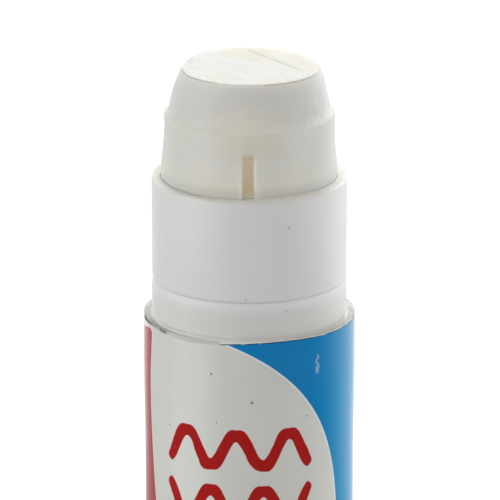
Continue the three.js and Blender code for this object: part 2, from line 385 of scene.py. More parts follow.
@dataclass(frozen=True, kw_only=True)
class NeckPlastic(MouldedPlastic):
    """The barrel's plastic: glue smeared on its rim, a few marks, and painted shade at the rim's front and
    the neck's foot.
    """

    rim: float
    foot: float
    radius: float
    marks: tuple[Mark, ...] = ((-0.15, 77.39, 0.2), (4.96, 75.69, 0.16), (5.2, 86.25, 0.28))
    mark_strength: float = 0.35
    smear: Colour = srgb(227, 224, 210)
    smear_sides: Span = (8.0, 10.0)
    smear_depth: float = 0.35
    smear_patch: float = 0.9
    smear_strength: float = 0.8
    # Painted shade on the front of the rim, a little stronger at the left: the colour film and the settings
    # below.
    film: Colour = srgb(211, 209, 197)
    rim_front_shade_span: Span = (5.0, 8.5)
    rim_front_shade_depth: Span = (0.55, 0.15)
    rim_front_shade_radius: Span = (11.05, 11.4)
    rim_front_shade_left: Span = (-5.0, 1.0)
    rim_front_shade_strength: float = 0.78
    rim_front_shade_left_strength: float = 0.15
    # Painted shade round the foot of the neck, where it meets the shoulder and the film.
    foot_shade: Colour = srgb(190, 188, 180)
    foot_shade_ends: tuple[Span, Span] = ((-12.2, -10.0), (11.7, 12.1))
    shade_height: float = 0.6
    shade_strength: float = 0.45
    shade_line_strength: float = 0.25
    low_shade_heights: Span = (2.0, 6.0)
    low_shade_strength: float = 0.2

    def worn(self, shader: Shader, place: Wire, grain: Wire, colour: Wire) -> Wire:
        """Lays the marks, the smears, painted shade on the rim's front and painted shade round the foot over
        a colour.

        Args:
            shader: The material's shader.
            place: The place on the barrel.
            grain: The plastic's grain.
            colour: The plastic's colour.

        Returns:
            The new colour.
        """
        x, y, z = shader.split(place)
        along = shader.maths("ARCTAN2", x, -y) * self.radius
        colour = shader.mix(shader.marks(along, z, self.marks) * self.mark_strength, colour, self.speck)
        sides = (abs(x) + (grain - 0.5) * 2).rise(*self.smear_sides)
        sides = sides * z.rise(self.rim - self.smear_depth, self.rim)
        blots = shader.patches(place, self.smear_patch, detail=3).rise(0.4, 0.6)
        colour = shader.mix(sides * blots * self.smear_strength, colour, self.smear)
        # Painted shade on the front of the rim, a little stronger at the left.
        low, high = self.rim_front_shade_depth
        front = (-y).rise(*self.rim_front_shade_span) * z.rise(self.rim - low, self.rim - high)
        front = front * shader.length(x, y).rise(*self.rim_front_shade_radius)
        front = front * (x.fall(*self.rim_front_shade_left) * self.rim_front_shade_left_strength + self.rim_front_shade_strength)
        colour = shader.mix(front, colour, self.film)
        return shader.mix(self.foot_shaded(shader, x, z - self.foot), colour, self.foot_shade)

    def foot_shaded(self, shader: Shader, x: Wire, above: Wire) -> Wire:
        """Where painted shade lies round the foot of the neck.

        A wide painted shade lies on its right side, a narrow painted shadow line runs just above it and
        reaches down to it on the right, and a faint painted shade reaches higher up.

        Args:
            shader: The material's shader.
            x: The place to the right.
            above: The height above the foot.

        Returns:
            How much painted shade there is, from 0 to 1.
        """
        # All of this is painted shade where the neck meets the shoulder.
        top = x.rise(-3.0, 1.0) * 1.4 + x.rise(5.0, 11.0) + 1.2
        shade = above.fall(self.shade_height, top) * x.rise(-5.0, 0.0) * self.shade_strength
        line = (x.rise(1.0, 6.0) * 0.5 + above).rise(0.42, 0.68) * above.fall(0.6, 1.15)
        line = line * (x.fall(-5.0, -1.0) * 0.7 + x.rise(2.0, 8.0) * 0.35 + self.shade_line_strength)
        left, right = self.foot_shade_ends
        near = (shade + line) * x.rise(*left) * x.fall(*right)
        return shader.maths("MAXIMUM", near, above.fall(*self.low_shade_heights) * self.low_shade_strength)


@dataclass(frozen=True)
class GlueForm:
    """The sizes of the glue that its mesh and its finish share.

    The groove's shift is towards +X. The knife is the angle of its lines from +X towards +Y, and its line is
    the place, across them, of the one deep line on the cut.
    """

    ledge: float = 98.2
    groove_radius: float = 10.33
    groove_width: float = 1.38
    groove_shift: float = 0.1
    groove_top: float = 95.12
    knife: float = math.radians(-55.7)
    knife_line: float = -3.9

    def across(self, x: "Wire | float", y: "Wire | float") -> "Wire | float":
        """How far a place lies across the knife's lines."""
        return x * math.sin(self.knife) - y * math.cos(self.knife)

    def along(self, x: "Wire | float", y: "Wire | float") -> "Wire | float":
        """How far a place lies along the knife's lines."""
        return x * math.cos(self.knife) + y * math.sin(self.knife)


@dataclass(frozen=True)
class WaxyGlue:
    """The glue: a stiff, slightly see-through paste, moulded at its sides and cut with a knife on top."""

    name: str
    form: GlueForm
    top: float
    low: float
    colour: Colour = srgb(235, 235, 231)
    head: Colour = srgb(222, 222, 219)
    deep: Colour = srgb(236, 232, 220)
    deep_heights: Span = (1.0, 8.0)
    worn_place: Place = (0.3, 7.4)
    worn_reach: Place = (0.19, 0.27)
    # Painted shade on both sides of the glue, below and above the ledge.
    side: Colour = srgb(223, 224, 218)
    head_side_shade: Colour = srgb(216, 217, 214)
    # Painted shade on the glue just above the neck's rim, and on the groove's lip.
    painted_shade: Colour = srgb(194, 193, 177)
    above_rim_shade_heights: tuple[Span, Span] = ((0.0, 0.35), (0.2, 1.7))
    above_rim_shade_strength: float = 0.38
    # A painted shadow line along the ledge, mostly at the left.
    seam: Colour = srgb(206, 204, 194)
    ledge_shadow_heights: tuple[Span, Span] = ((-0.8, -0.3), (0.0, 0.5))
    # A darker line just under the cut's edge.
    below_cut_line: Colour = srgb(176, 175, 166)
    below_cut_depths: tuple[Span, Span] = ((0.11, 0.16), (0.26, 0.36))
    below_cut_strength: float = 0.7
    scratch: Colour = srgb(168, 162, 146)
    scratch_width: Span = (0.04, 0.17)
    scratch_span: Span = (-5.0, 4.5)
    cut: Colour = srgb(243, 243, 238)
    cut_depths: Span = (0.12, 0.05)
    score: Colour = srgb(231, 229, 219)
    score_width: float = 0.3
    score_stretch: float = 0.05
    stain: Colour = srgb(240, 235, 218)
    stain_place: Place = (-0.2, 5.6)
    stain_reach: Span = (1.5, 4.5)
    # Painted shade on the small facet at the left end of the cut.
    facet_shade: Colour = srgb(206, 206, 216)
    facet_shade_place: Place = (-7.6, 2.2)
    groove: Colour = srgb(235, 221, 190)
    # Painted light at the groove's foot.
    groove_foot_light: Colour = srgb(254, 247, 226)
    groove_foot_light_heights: Span = (0.1, 0.7)
    groove_softness: Span = (0.33, 0.22)
    roughness: float = 0.46
    grain_depth: float = 0.05
    glow_reach: float = 2.6

    def material(self) -> bpy.types.Material:
        """Builds the material.

        Returns:
            The material.
        """
        material, shader = new_material(self.name)
        place = shader.place()
        x, y, z = shader.split(place)
        cloud = shader.patches(place, 3.5, detail=3)
        streaks = shader.patches(shader.squeezed(place, 0.16), 0.8, detail=3)
        grain = shader.patches(place, 0.22, detail=4, roughness=0.6)
        across, along = self.form.across(x, y), self.form.along(x, y)
        lines = shader.node("ShaderNodeCombineXYZ", inputs={0: along * self.score_stretch, 1: across, 2: 0.0})
        scores = shader.patches(lines, self.score_width, detail=3, roughness=0.7)
        low, high = self.cut_depths
        on_top = z.rise(self.top - low, self.top - high)

        colour = self.moulded(shader, x, y, z, cloud)
        colour = shader.mix(on_top, colour, self.cut_face(shader, x, y, cloud, scores))
        # Painted shade on the small facet at the left end of the cut.
        facet_shade = x.near(self.facet_shade_place[0], 0.3, 0.9) * y.near(self.facet_shade_place[1], 0.8, 2.2)
        colour = shader.mix(facet_shade * z.rise(self.top - 0.8, self.top - 0.4) * 0.5, colour, self.facet_shade)
        colour = self.grooved(shader, x, y, z, colour)
        fine = streaks * 0.5 + grain * 0.5
        shader.surface(
            {
                "Base Color": colour,
                "Roughness": self.roughness + streaks * 0.14 - on_top * 0.05,
                "Normal": shader.bump(fine + on_top * (scores * 3.0 - fine), self.grain_depth),
                "Subsurface Weight": 1.0,
                "Subsurface Radius": (1.0, 0.85, 0.6),
                "Subsurface Scale": self.glow_reach * MM,
                "Specular IOR Level": 0.2,
            }
        )
        return material

    def moulded(self, shader: Shader, x: Wire, y: Wire, z: Wire, cloud: Wire) -> Wire:
        """The colour of the moulded side.

        It is yellower deep in the neck and where it is worn at the front, and greyer above the ledge. It has
        painted shade at both sides, a painted shadow line along the ledge, painted shade just above the rim
        and a darker line just under the cut's edge.

        Args:
            shader: The material's shader.
            x: The place to the right.
            y: The place to the back.
            z: The height of the place.
            cloud: Random patches.

        Returns:
            The colour.
        """
        ledge = self.form.ledge
        around = shader.maths("ARCTAN2", x, -y) * shader.length(x, y)
        deep_low, deep_high = self.deep_heights
        sunk = (z + cloud * 3.0).fall(self.low + deep_low, self.low + deep_high)
        beside = (around - self.worn_place[0]) * self.worn_reach[0]
        level = (z - self.low - self.worn_place[1]) * self.worn_reach[1]
        worn = (beside * beside + level * level + (cloud - 0.5) * 1.6).fall(0.0, 1.7)
        above = (z + cloud).rise(ledge, ledge + 1.6)
        colour = shader.mix(above, self.colour, self.head)
        colour = shader.mix(shader.maths("MAXIMUM", sunk * 0.9, worn * 0.8), colour, self.deep)
        # Painted shade at both sides of the glue.
        right = x.rise(5.5, 8.0) * x.fall(9.0, 9.5) * above + x.rise(5.5, 9.5) * (1 - above)
        sides = shader.maths("MAXIMUM", (-x).rise(4.5, 9.0), right)
        colour = shader.mix(sides, colour, shader.mix(above, self.side, self.head_side_shade))
        # A painted shadow line along the ledge, mostly at the left.
        seam = (z - ledge).between(*self.ledge_shadow_heights)
        seam = seam * (x.fall(-5.5, -1.0) * 0.27 + cloud.rise(0.4, 0.8) * 0.12)
        colour = shader.mix(seam, colour, self.seam)
        # Painted shade on the glue just above the neck's rim.
        painted_shade = (z - self.low).between(*self.above_rim_shade_heights)
        colour = shader.mix(painted_shade * self.above_rim_shade_strength, colour, self.painted_shade)
        # A darker line just under the cut's edge.
        below_cut_line = (self.top - z).between(*self.below_cut_depths)
        return shader.mix(below_cut_line * cloud.rise(0.35, 0.6) * self.below_cut_strength, colour, self.below_cut_line)

    def cut_face(self, shader: Shader, x: Wire, y: Wire, cloud: Wire, scores: Wire) -> Wire:
        """The colour of the cut: fine scores, a yellow stain at the back, and one deep dirty line.

        Args:
            shader: The material's shader.
            x: The place to the right.
            y: The place to the back.
            cloud: Random patches.
            scores: Random lines along the knife's way.

        Returns:
            The colour.
        """
        across = self.form.across(x, y) - self.form.knife_line
        along = self.form.along(x, y)
        patch = shader.length(x - self.stain_place[0], y - self.stain_place[1]) + (cloud - 0.5) * 2.5
        stain = shader.maths("MAXIMUM", patch.fall(*self.stain_reach), across.fall(-0.1, 0.1) * 0.25)
        colour = shader.mix(stain * 0.8, self.cut, self.stain)
        colour = shader.mix(scores.rise(0.47, 0.62) * 0.75, colour, self.score)
        line = abs(across + (cloud - 0.5) * 0.2).fall(*self.scratch_width)
        start, end = self.scratch_span
        line = line * along.between((start - 1.5, start + 1.0), (end - 1.0, end + 2.0))
        return shader.mix(line * 0.9, colour, self.scratch)

    def grooved(self, shader: Shader, x: Wire, y: Wire, z: Wire, colour: Wire) -> Wire:
        """Lays the colour of the groove over the side's, with painted light at its foot and painted shade on
        the lip at its right.

        Args:
            shader: The material's shader.
            x: The place to the right.
            y: The place to the back.
            z: The height of the place.
            colour: The side's colour.

        Returns:
            The new colour.
        """
        form = self.form
        half = form.groove_width / 2
        off = x - form.groove_shift
        # Painted shade on the lip at the groove's right, stronger towards the foot.
        lip = off.between((half, half + 0.2), (half + 0.3, half + 0.6)) * (-y).rise(0.0, 1.0)
        colour = shader.mix(lip * z.fall(self.low, self.low + 3.5) * 0.3, colour, self.painted_shade)
        within = abs(off).fall(half - self.groove_softness[0], half + self.groove_softness[1])
        within = within * shader.length(x, y).fall(form.groove_radius + 0.3, form.groove_radius + 0.9)
        within = within * z.fall(form.groove_top - 0.25, form.groove_top + 0.1)
        # Painted light at the groove's foot.
        foot = (z - self.low).fall(*self.groove_foot_light_heights)
        return shader.mix(within, colour, shader.mix(foot * 0.8, self.groove, self.groove_foot_light))


@dataclass(frozen=True)
class LabelPrint:
    """The glossy printed film: a white field with a blue sweep, a red band and two painted waves."""

    name: str
    radius: float
    foot: float
    rim: float
    white: Colour = srgb(232, 233, 226)
    sheen: Colour = srgb(241, 242, 236)
    sheen_place: float = -7.3
    sheen_reach: Span = (1.0, 4.5)
    blue: Colour = srgb(0, 138, 207)
    pale_blue: Colour = srgb(0, 154, 210)
    blue_change: Span = (7.0, 16.0)
    red: Colour = srgb(186, 22, 18)
    line: Colour = srgb(250, 250, 247)
    line_width: float = 0.2
    ink_softness: float = 0.05
    line_softness: float = 0.04
    sweep_middle: Place = (-8.6, 47.9)
    sweep_reach: Place = (21.45, 24.87)
    band_edge: float = -15.3
    band_width: float = 6.2
    band_bow_height: float = 62.5
    band_bow: float = 15.0
    band_lean: float = 0.25
    band_end_gap: float = 0.45
    band_slant: float = 0.2
    band_corner: float = 0.9
    # Painted reflection lightens the red band below these heights.
    band_reflection_span: Span = (48.0, 64.0)
    wave_span: Span = (-11.2, 8.6)
    wave_heights: tuple[float, ...] = (58.2, 50.9)
    wave_rise: float = 1.95
    wave_length: float = 6.6
    wave_stroke: float = 1.5
    wave_drift: float = 2.4
    # A small painted highlight in streaks, high on the right of the front.
    highlight_place: Place = (9.3, 68.55)
    speck: Colour = srgb(90, 92, 86)
    speck_spacing: float = 7.0
    speck_size: float = 0.14
    marks: tuple[Mark, ...] = (
        (-4.5, 67.91, 0.2),
        (0.61, 64.47, 0.24),
        (-3.4, 58.19, 0.22),
        (-10.8, 60.1, 0.14),
        (-3.8, 61.7, 0.14),
        (-9.9, 57.4, 0.18),
    )
    panel: Colour = srgb(238, 238, 232)
    panel_half_width: float = 9.0
    panel_span: Span = (20.0, 62.0)
    panel_corner: float = 2.0
    rule: Colour = srgb(120, 132, 142)
    rule_spacing: float = 3.2
    rule_swing: float = 2.39996
    rule_margin: float = 2.2
    haze: Colour = srgb(120, 120, 116)

    def material(self) -> bpy.types.Material:
        """Builds the material.

        Returns:
            The material.
        """
        material, shader = new_material(self.name)
        place = shader.place()
        x, y, z = shader.split(place)
        along = shader.maths("ARCTAN2", x, -y) * self.radius
        beside = self.beside_band(shader, along, z)
        colour = self.field(shader, along, z, beside)
        drift = shader.patches(place, self.wave_drift, detail=2) - 0.5
        for number, height in enumerate(self.wave_heights):
            wave = self.wave(shader, along + drift * 0.35, z + drift * 0.3, height, number * math.pi, drift)
            colour = shader.mix(wave, colour, self.red)
        colour = self.banded(shader, beside, z, colour)
        colour = self.panelled(shader, shader.maths("ARCTAN2", x, y) * self.radius, z, colour)
        colour = self.worn(shader, place, along, z, colour)

        ripple = shader.patches(shader.squeezed(place, 0.5), 5.0, detail=1)
        peel = shader.patches(place, 0.7, detail=2)
        scuff = shader.patches(shader.squeezed(place, 0.12), 0.5, detail=2)
        shader.surface(
            {
                "Base Color": colour,
                "Roughness": 0.3 + scuff.rise(0.55, 0.8) * 0.18,
                "Normal": shader.bump(ripple + peel * 0.06, 0.05),
                "Coat Weight": 0.85,
                "Coat Roughness": 0.09,
                "Coat IOR": 1.4,
                "Specular IOR Level": 0.05,
            }
        )
        return material

    def beside_band(self, shader: Shader, along: Wire, z: Wire) -> Wire:
        """How far a place lies to the right of the middle of the red band, which bows to the left.

        Args:
            shader: The label's shader.
            along: The place along the label, from the front.
            z: The height of the place.

        Returns:
            The distance in millimetres.
        """
        away = z - self.band_bow_height
        bow = (shader.maths("SQRT", away * away + self.band_bow**2) - self.band_bow) * self.band_lean
        return along - bow - (self.band_edge - self.band_width / 2)

    def field(self, shader: Shader, along: Wire, z: Wire, beside: Wire) -> Wire:
        """The white field, the blue that sweeps round it, and the thin pale line between them.

        Args:
            shader: The label's shader.
            along: The place along the label, from the front.
            z: The height of the place.
            beside: How far it lies to the right of the middle of the red band.

        Returns:
            The colour.
        """
        across = shader.maths("MAXIMUM", along - self.sweep_middle[0], 0.0) / self.sweep_reach[0]
        up = (z - self.sweep_middle[1]) / self.sweep_reach[1]
        sweep = (shader.length(across, up) - 1) * (sum(self.sweep_reach) / 2)
        sweep = shader.maths("MAXIMUM", sweep, -beside - self.band_width * 0.47)
        blue = shader.mix(along.rise(*self.blue_change), self.blue, self.pale_blue)
        white = shader.mix(along.near(self.sheen_place, *self.sheen_reach), self.white, self.sheen)
        colour = shader.mix(sweep.rise(-self.line_softness, self.line_softness), white, blue)
        half = self.line_width / 2
        line = sweep.near(0.0, half - self.line_softness, half + self.line_softness)
        return shader.mix(line, colour, self.line)

    def banded(self, shader: Shader, beside: Wire, z: Wire, colour: Wire) -> Wire:
        """Lays the red band and its thin pale border over a colour, with painted reflection that lightens the
        band towards its foot.

        Args:
            shader: The label's shader.
            beside: How far a place lies to the right of the middle of the band.
            z: The height of the place.
            colour: The colour under the band.

        Returns:
            The new colour.
        """
        gap = (self.band_width / 2 - beside) * self.band_slant + self.band_end_gap
        ends = shader.maths("MAXIMUM", z - (self.rim - gap), self.foot + gap - z)
        outside = shader.outside(abs(beside) - self.band_width / 2, ends, self.band_corner)
        soft = self.ink_softness
        colour = shader.mix(outside.fall(self.line_width - soft, self.line_width + soft), colour, self.line)
        # Painted reflection that lightens the red band towards its foot.
        red = shader.mix(z.fall(*self.band_reflection_span) * 0.05 + 0.045, self.red, self.line)
        return shader.mix(outside.fall(-soft, soft), colour, red)

    def wave(self, shader: Shader, along: Wire, z: Wire, height: float, phase: float, drift: Wire) -> Wire:
        """Where one painted wave is.

        Args:
            shader: The label's shader.
            along: The place along the label, from the front.
            z: The height of the place.
            height: The height of the wave's middle.
            phase: Where in its swing the wave starts, in radians.
            drift: Random patches about 0, which make the stroke thicker and thinner.

        Returns:
            1 on the stroke and 0 beside it.
        """
        start, end = self.wave_span
        middle, reach = (start + end) / 2, (end - start) / 2
        angle = (along - middle) * (TURN / self.wave_length) + phase
        slope = shader.maths("SINE", angle) * (self.wave_rise * TURN / self.wave_length)
        off = abs(z - height - shader.maths("COSINE", angle) * self.wave_rise)
        away = off / shader.maths("SQRT", slope * slope + 1)
        ends = along.near(middle, reach - 0.8, reach)
        half = (self.wave_stroke / 2) * (1 + drift * 0.35) * shader.maths("SQRT", ends)
        return (half - away).rise(-self.ink_softness, self.ink_softness) * ends.rise(0.0, 0.2)

    def panelled(self, shader: Shader, across: Wire, z: Wire, colour: Wire) -> Wire:
        """Lays the plain panel on the back over a colour, with thin rules where small print would be.

        Args:
            shader: The label's shader.
            across: The place along the label, from the middle of the back.
            z: The height of the place.
            colour: The colour round the panel.

        Returns:
            The new colour.
        """
        low, high = self.panel_span
        side = abs(across) - self.panel_half_width
        outside = shader.outside(side, abs(z - (low + high) / 2) - (high - low) / 2, self.panel_corner)
        row = (z - low) / self.rule_spacing
        level = abs(shader.maths("FRACT", row) - 0.5) * self.rule_spacing
        shorter = shader.maths("SINE", shader.maths("FLOOR", row) * self.rule_swing) + 1
        length = self.panel_half_width - self.rule_margin - shorter * 1.1
        rules = level.fall(0.1, 0.18) * abs(across).fall(length - 0.1, length) * outside.fall(-1.95, -1.85)
        paper = shader.mix(rules, self.panel, self.rule)
        return shader.mix(outside.fall(-self.ink_softness, self.ink_softness), colour, paper)

    def worn(self, shader: Shader, place: Wire, along: Wire, z: Wire, colour: Wire) -> Wire:
        """Lays a faint haze, one small painted highlight and some specks over a colour.

        Args:
            shader: The label's shader.
            place: The place on the piece.
            along: The place along the label, from the front.
            z: The height of the place.
            colour: The print's colour.

        Returns:
            The new colour.
        """
        haze = shader.patches(place, 14.0, detail=2).rise(0.3, 0.8)
        colour = shader.mix(haze * 0.05, colour, self.haze)
        # A small painted highlight in streaks, high on the right of the front.
        highlight = along.near(self.highlight_place[0], 0.15, 0.4) * z.near(self.highlight_place[1], 0.9, 1.5)
        highlight_streaks = shader.patches(shader.squeezed(place, 0.35), 0.25, detail=2).rise(0.45, 0.6)
        colour = shader.mix(highlight * highlight_streaks * 0.45, colour, self.line)
        specks = shader.specks(place, self.speck_spacing, self.speck_size)
        specks = specks + shader.marks(along, z, self.marks)
        return shader.mix(specks * 0.75, colour, self.speck)


@dataclass(frozen=True)
class CutEdge:
    """A strip along the film's cut edge, of another colour over the blue, with chips and blots of painted
    shadow.
    """

    name: str
    radius: float
    plain: Colour
    inked: Colour
    chip: Colour
    ink_span: Span = (-3.3, 19.0)
    pale: Colour = srgb(240, 240, 236)
    pale_change: Span = (-19.5, -18.0)
    # Blots of painted shadow along the edge.
    blot_shadow: Colour = srgb(66, 52, 48)
    blots: tuple[Mark, ...] = (
        (-16.7, 1.7, 0.95),
        (-14.2, 1.2, 0.4),
        (-12.1, 1.0, 0.62),
        (18.2, 0.4, 0.7),
    )
    blot_patch: float = 1.1

    def material(self) -> bpy.types.Material:
        """Builds the material, on which each blot is given by its place along, its reach and its strength.

        Returns:
            The material.
        """
        material, shader = new_material(self.name)
        place = shader.place()
        x, y, _ = shader.split(place)
        along = shader.maths("ARCTAN2", x, -y) * self.radius
        spots = shader.patches(place, self.blot_patch, detail=3)
        start, end = self.ink_span
        inked = along.between((start - 0.1, start + 0.1), (end, end + 1.0))
        colour = shader.mix(inked, self.plain, self.inked)
        colour = shader.mix(spots.rise(0.52, 0.66) * (inked * 0.6 + 0.1), colour, self.chip)
        colour = shader.mix(along.fall(*self.pale_change), colour, self.pale)
        # Blots of painted shadow along the edge.
        for middle, reach, strength in self.blots:
            blot = (abs(along - middle) / reach + (spots - 0.5) * 1.6).fall(0.45, 1.1)
            colour = shader.mix(blot * strength, colour, self.blot_shadow)
        shader.surface({"Base Color": colour, "Roughness": 0.35 + spots * 0.2})
        return material


class Finishes(Enum):
    """The record's material slots."""

    PLASTIC = "white_plastic"
    LABEL = "label_film"
    GLUE = "glue_mass"


# Meshes


def ring(radius: float, height: float) -> Ring:
    """A plain ring of a turned skin, in millimetres."""
    return lambda bearing: (radius, height)


def hexagon(corner: float, bearing: float) -> float:
    """The side of a hexagon that has a corner towards +X.

    Args:
        corner: How far its corners are from its middle.
        bearing: The bearing of the place.

    Returns:
        How far the side is from the middle.
    """
    sixth = TURN / 6
    off = (bearing - math.pi / 2 + sixth / 2) % sixth - sixth / 2
    return corner * math.cos(sixth / 2) / math.cos(sixth / 2 - abs(off))


def head_radius(foot: float, top: float, bulge: float, share: float) -> float:
    """The radius of the moulded head of the glue, and of the cap's plug that moulded it.

    Args:
        foot: The radius at its foot.
        top: The radius at its top.
        bulge: Twice how far the wall bulges halfway up.
        share: How far up the place is, from 0 to 1.

    Returns:
        The radius.
    """
    return foot + (top - foot) * share + 2 * bulge * share * (1 - share)


def rounded(corners: Sequence[Mark], steps: int = 4) -> list[Place]:
    """An outline with rounded corners.

    Args:
        corners: The radius and height of each corner, and how far its rounding reaches.
        steps: How many lengths make a rounding.

    Returns:
        The outline's points. Its first and last corners stay sharp.
    """
    points = [corners[0][:2]]
    for before, corner, after in zip(corners, corners[1:], corners[2:]):
        here = Vector(corner[:2])
        back = Vector(before[:2]) - here
        ahead = Vector(after[:2]) - here
        if corner[2] <= 0:
            points.append(corner[:2])
            continue
        start = here + back * min(corner[2] / back.length, 0.48)
        end = here + ahead * min(corner[2] / ahead.length, 0.48)
        for step in range(steps + 1):
            share = step / steps
            bend = start * (1 - share) ** 2 + here * (2 * share * (1 - share)) + end * share**2
            points.append((bend.x, bend.y))
    points.append(corners[-1][:2])
    return points


def divided(points: Sequence[Place], spacing: float) -> list[Place]:
    """Divides the lengths of an outline.

    Args:
        points: The outline's points.
        spacing: The longest length that stays whole, in millimetres.

    Returns:
        The same outline with more points.
    """
    finer = [points[0]]
    for start, end in zip(points, points[1:]):
        count = max(1, math.ceil(math.dist(start, end) / spacing))
        for step in range(1, count + 1):
            finer.append(tuple(a + (b - a) * step / count for a, b in zip(start, end)))
    return finer


def even_bearings(count: int, extras: Iterable[float] = ()) -> list[float]:
    """Spaces bearings equally over a whole turn.

    Args:
        count: How many there are.
        extras: Some more bearings to put among them.

    Returns:
        The bearings in their order.
    """
    bearings = {round(TURN * step / count, 6) for step in range(count)}
    bearings |= {round(extra % TURN, 6) for extra in extras}
    return sorted(bearings)


class Skin:
    """A mesh that is made of rings about an upright axis."""

    def __init__(self, name: str, bearings: Sequence[float]) -> None:
        """Starts an empty skin.

        Args:
            name: The name of the piece that it becomes.
            bearings: The bearings of each ring's points.
        """
        self.name = name
        self.bearings = bearings
        self.mesh = bmesh.new()

    def point(self, bearing: float, place: Place) -> bmesh.types.BMVert:
        """Adds a point.

        Args:
            bearing: Its bearing.
            place: Its radius and height in millimetres.

        Returns:
            The point.
        """
        radius, height = place
        right, back = radius * math.sin(bearing), -radius * math.cos(bearing)
        return self.mesh.verts.new((right * MM, back * MM, height * MM))

    def loop(self, made: Ring) -> Points:
        """Adds the points of one ring.

        Args:
            made: The ring.

        Returns:
            Its points, or a single point where its radius is 0.
        """
        if made(0.0)[0] == 0:
            return [self.point(0.0, made(0.0))]
        return [self.point(bearing, made(bearing)) for bearing in self.bearings]

    def join(self, low: Points, high: Points) -> None:
        """Adds the faces between two rings, of which one may be a single point.

        Args:
            low: The points of the lower ring.
            high: The points of the higher ring.
        """
        count = len(self.bearings)
        for step in range(count):
            after = (step + 1) % count
            if len(low) == 1:
                corners = (low[0], high[after], high[step])
            elif len(high) == 1:
                corners = (low[step], low[after], high[0])
            else:
                corners = (low[step], low[after], high[after], high[step])
            self.mesh.faces.new(corners)

    def turn(self, rings: Sequence[Ring], closed: bool = False) -> list[Points]:
        """Adds rings and the faces between them.

        Args:
            rings: The rings, anticlockwise round the section with the radius to the right.
            closed: Whether the last ring is joined to the first.

        Returns:
            The points of each ring.
        """
        loops = [self.loop(made) for made in rings]
        for low, high in zip(loops, loops[1:]):
            self.join(low, high)
        if closed:
            self.join(loops[-1], loops[0])
        return loops

    def finish(self, crease: float = 35.0) -> bpy.types.Object:
        """Ends the mesh.

        Args:
            crease: The angle in degrees past which an edge stays sharp.

        Returns:
            The new object.
        """
        bmesh.ops.recalc_face_normals(self.mesh, faces=self.mesh.faces)
        data = bpy.data.meshes.new(self.name)
        self.mesh.to_mesh(data)
        self.mesh.free()
        data.shade_smooth()
        data.set_sharp_from_angle(angle=math.radians(crease))
        piece = bpy.data.objects.new(self.name, data)
        bpy.context.scene.collection.objects.link(piece)
        return piece


@dataclass(frozen=True)
class Grip:
    """Upright flutes round a wall, which run out softly at both ends."""

    count: int
    depth: float
    low: float
    high: float
    floor_share: float
    mouth_share: float
    run_out: float = 0.45

    def cut(self, bearing: float, height: float) -> float:
        """How deep the flutes are at a place.

        Args:
            bearing: The bearing of the place.
            height: Its height.

        Returns:
            The depth in millimetres.
        """
        off = abs((bearing * self.count / TURN) % 1 - 0.5)
        ends = smooth(self.low, self.low + self.run_out, height)
        ends *= 1 - smooth(self.high - self.run_out, self.high, height)
        return self.depth * ends * (1 - smooth(self.floor_share, self.mouth_share, off))

    def heights(self) -> list[float]:
        """The heights of the rings that the flutes' ends need."""
        steps = [self.run_out * step / 4 for step in range(5)]
        return [self.low + step for step in steps] + [self.high - step for step in reversed(steps)]

    def ring(self, radius: float, height: float) -> Ring:
        """A ring of a fluted wall."""
        return lambda bearing: (radius - self.cut(bearing, height), height)

    def rings(self, radius: float) -> list[Ring]:
        """The rings of a fluted wall of this radius."""
        return [self.ring(radius, height) for height in self.heights()]


@dataclass(frozen=True)
class Thread:
    """A left-handed thread whose ridge fades into its core at both ends."""

    core: float
    depth: float
    lead: float
    root: float
    crest: float
    ease: float = 0.12
    foot_share: float = 0.12
    edge_share: float = 0.9
    margin: float = 0.15
    fade: float = 0.4

    def section(self) -> list[Place]:
        """The ridge's outline over one lead.

        Returns:
            The height and depth of each point.
        """
        middle = self.lead / 2
        ease = self.ease
        rise = [
            (self.root / 2 + ease, 0.0),
            (self.root / 2 - ease / 2, self.depth * self.foot_share),
            (self.crest / 2 + ease / 2, self.depth * self.edge_share),
            (self.crest / 2 - ease, self.depth),
        ]
        below = [(middle - off, depth) for off, depth in rise]
        return [(0.0, 0.0), *below, *[(middle + off, depth) for off, depth in reversed(rise)]]

    def wall(self, skin: Skin, low: Points, high: Points) -> None:
        """Adds the threaded wall between two plain rings of the core's radius.

        Args:
            skin: The skin that gets the wall. Its bearings are equally spaced.
            low: The points of the ring at the foot.
            high: The points of the ring at the top.
        """
        count = len(skin.bearings)
        section = self.section()
        turn = len(section)
        start = low[0].co.z / MM + self.lead + self.margin
        turns = math.floor((high[0].co.z / MM - self.margin - start) / self.lead)
        rows = turn * turns
        grid = []
        for row in range(rows + 1):
            rise, depth = section[row % turn]
            line = []
            for step, bearing in enumerate(skin.bearings):
                place = row // turn - step / count
                share = smooth(-1.0, -1.0 + self.fade, place)
                share *= 1 - smooth(turns - 1 - self.fade, turns - 1, place)
                height = start + (row // turn) * self.lead + rise - self.lead * step / count
                line.append(skin.point(bearing, (self.core + depth * share, height)))
            grid.append(line)
        faces = skin.mesh.faces
        for step in range(count - 1):
            faces.new((low[step], low[step + 1], grid[0][step + 1], grid[0][step]))
            for row in range(rows):
                here, above = grid[row], grid[row + 1]
                faces.new((here[step], here[step + 1], above[step + 1], above[step]))
            faces.new((grid[rows][step], grid[rows][step + 1], high[step + 1], high[step]))
        for row in range(turn, rows):
            below = row - turn
            faces.new((grid[row][-1], grid[below][0], grid[below + 1][0], grid[row + 1][-1]))
        faces.new([low[-1], low[0], grid[0][0], *[grid[row][-1] for row in range(turn, -1, -1)]])
        ends = [grid[row][0] for row in range(rows - turn, rows + 1)]
        faces.new([grid[rows][-1], *ends, high[0], high[-1]])


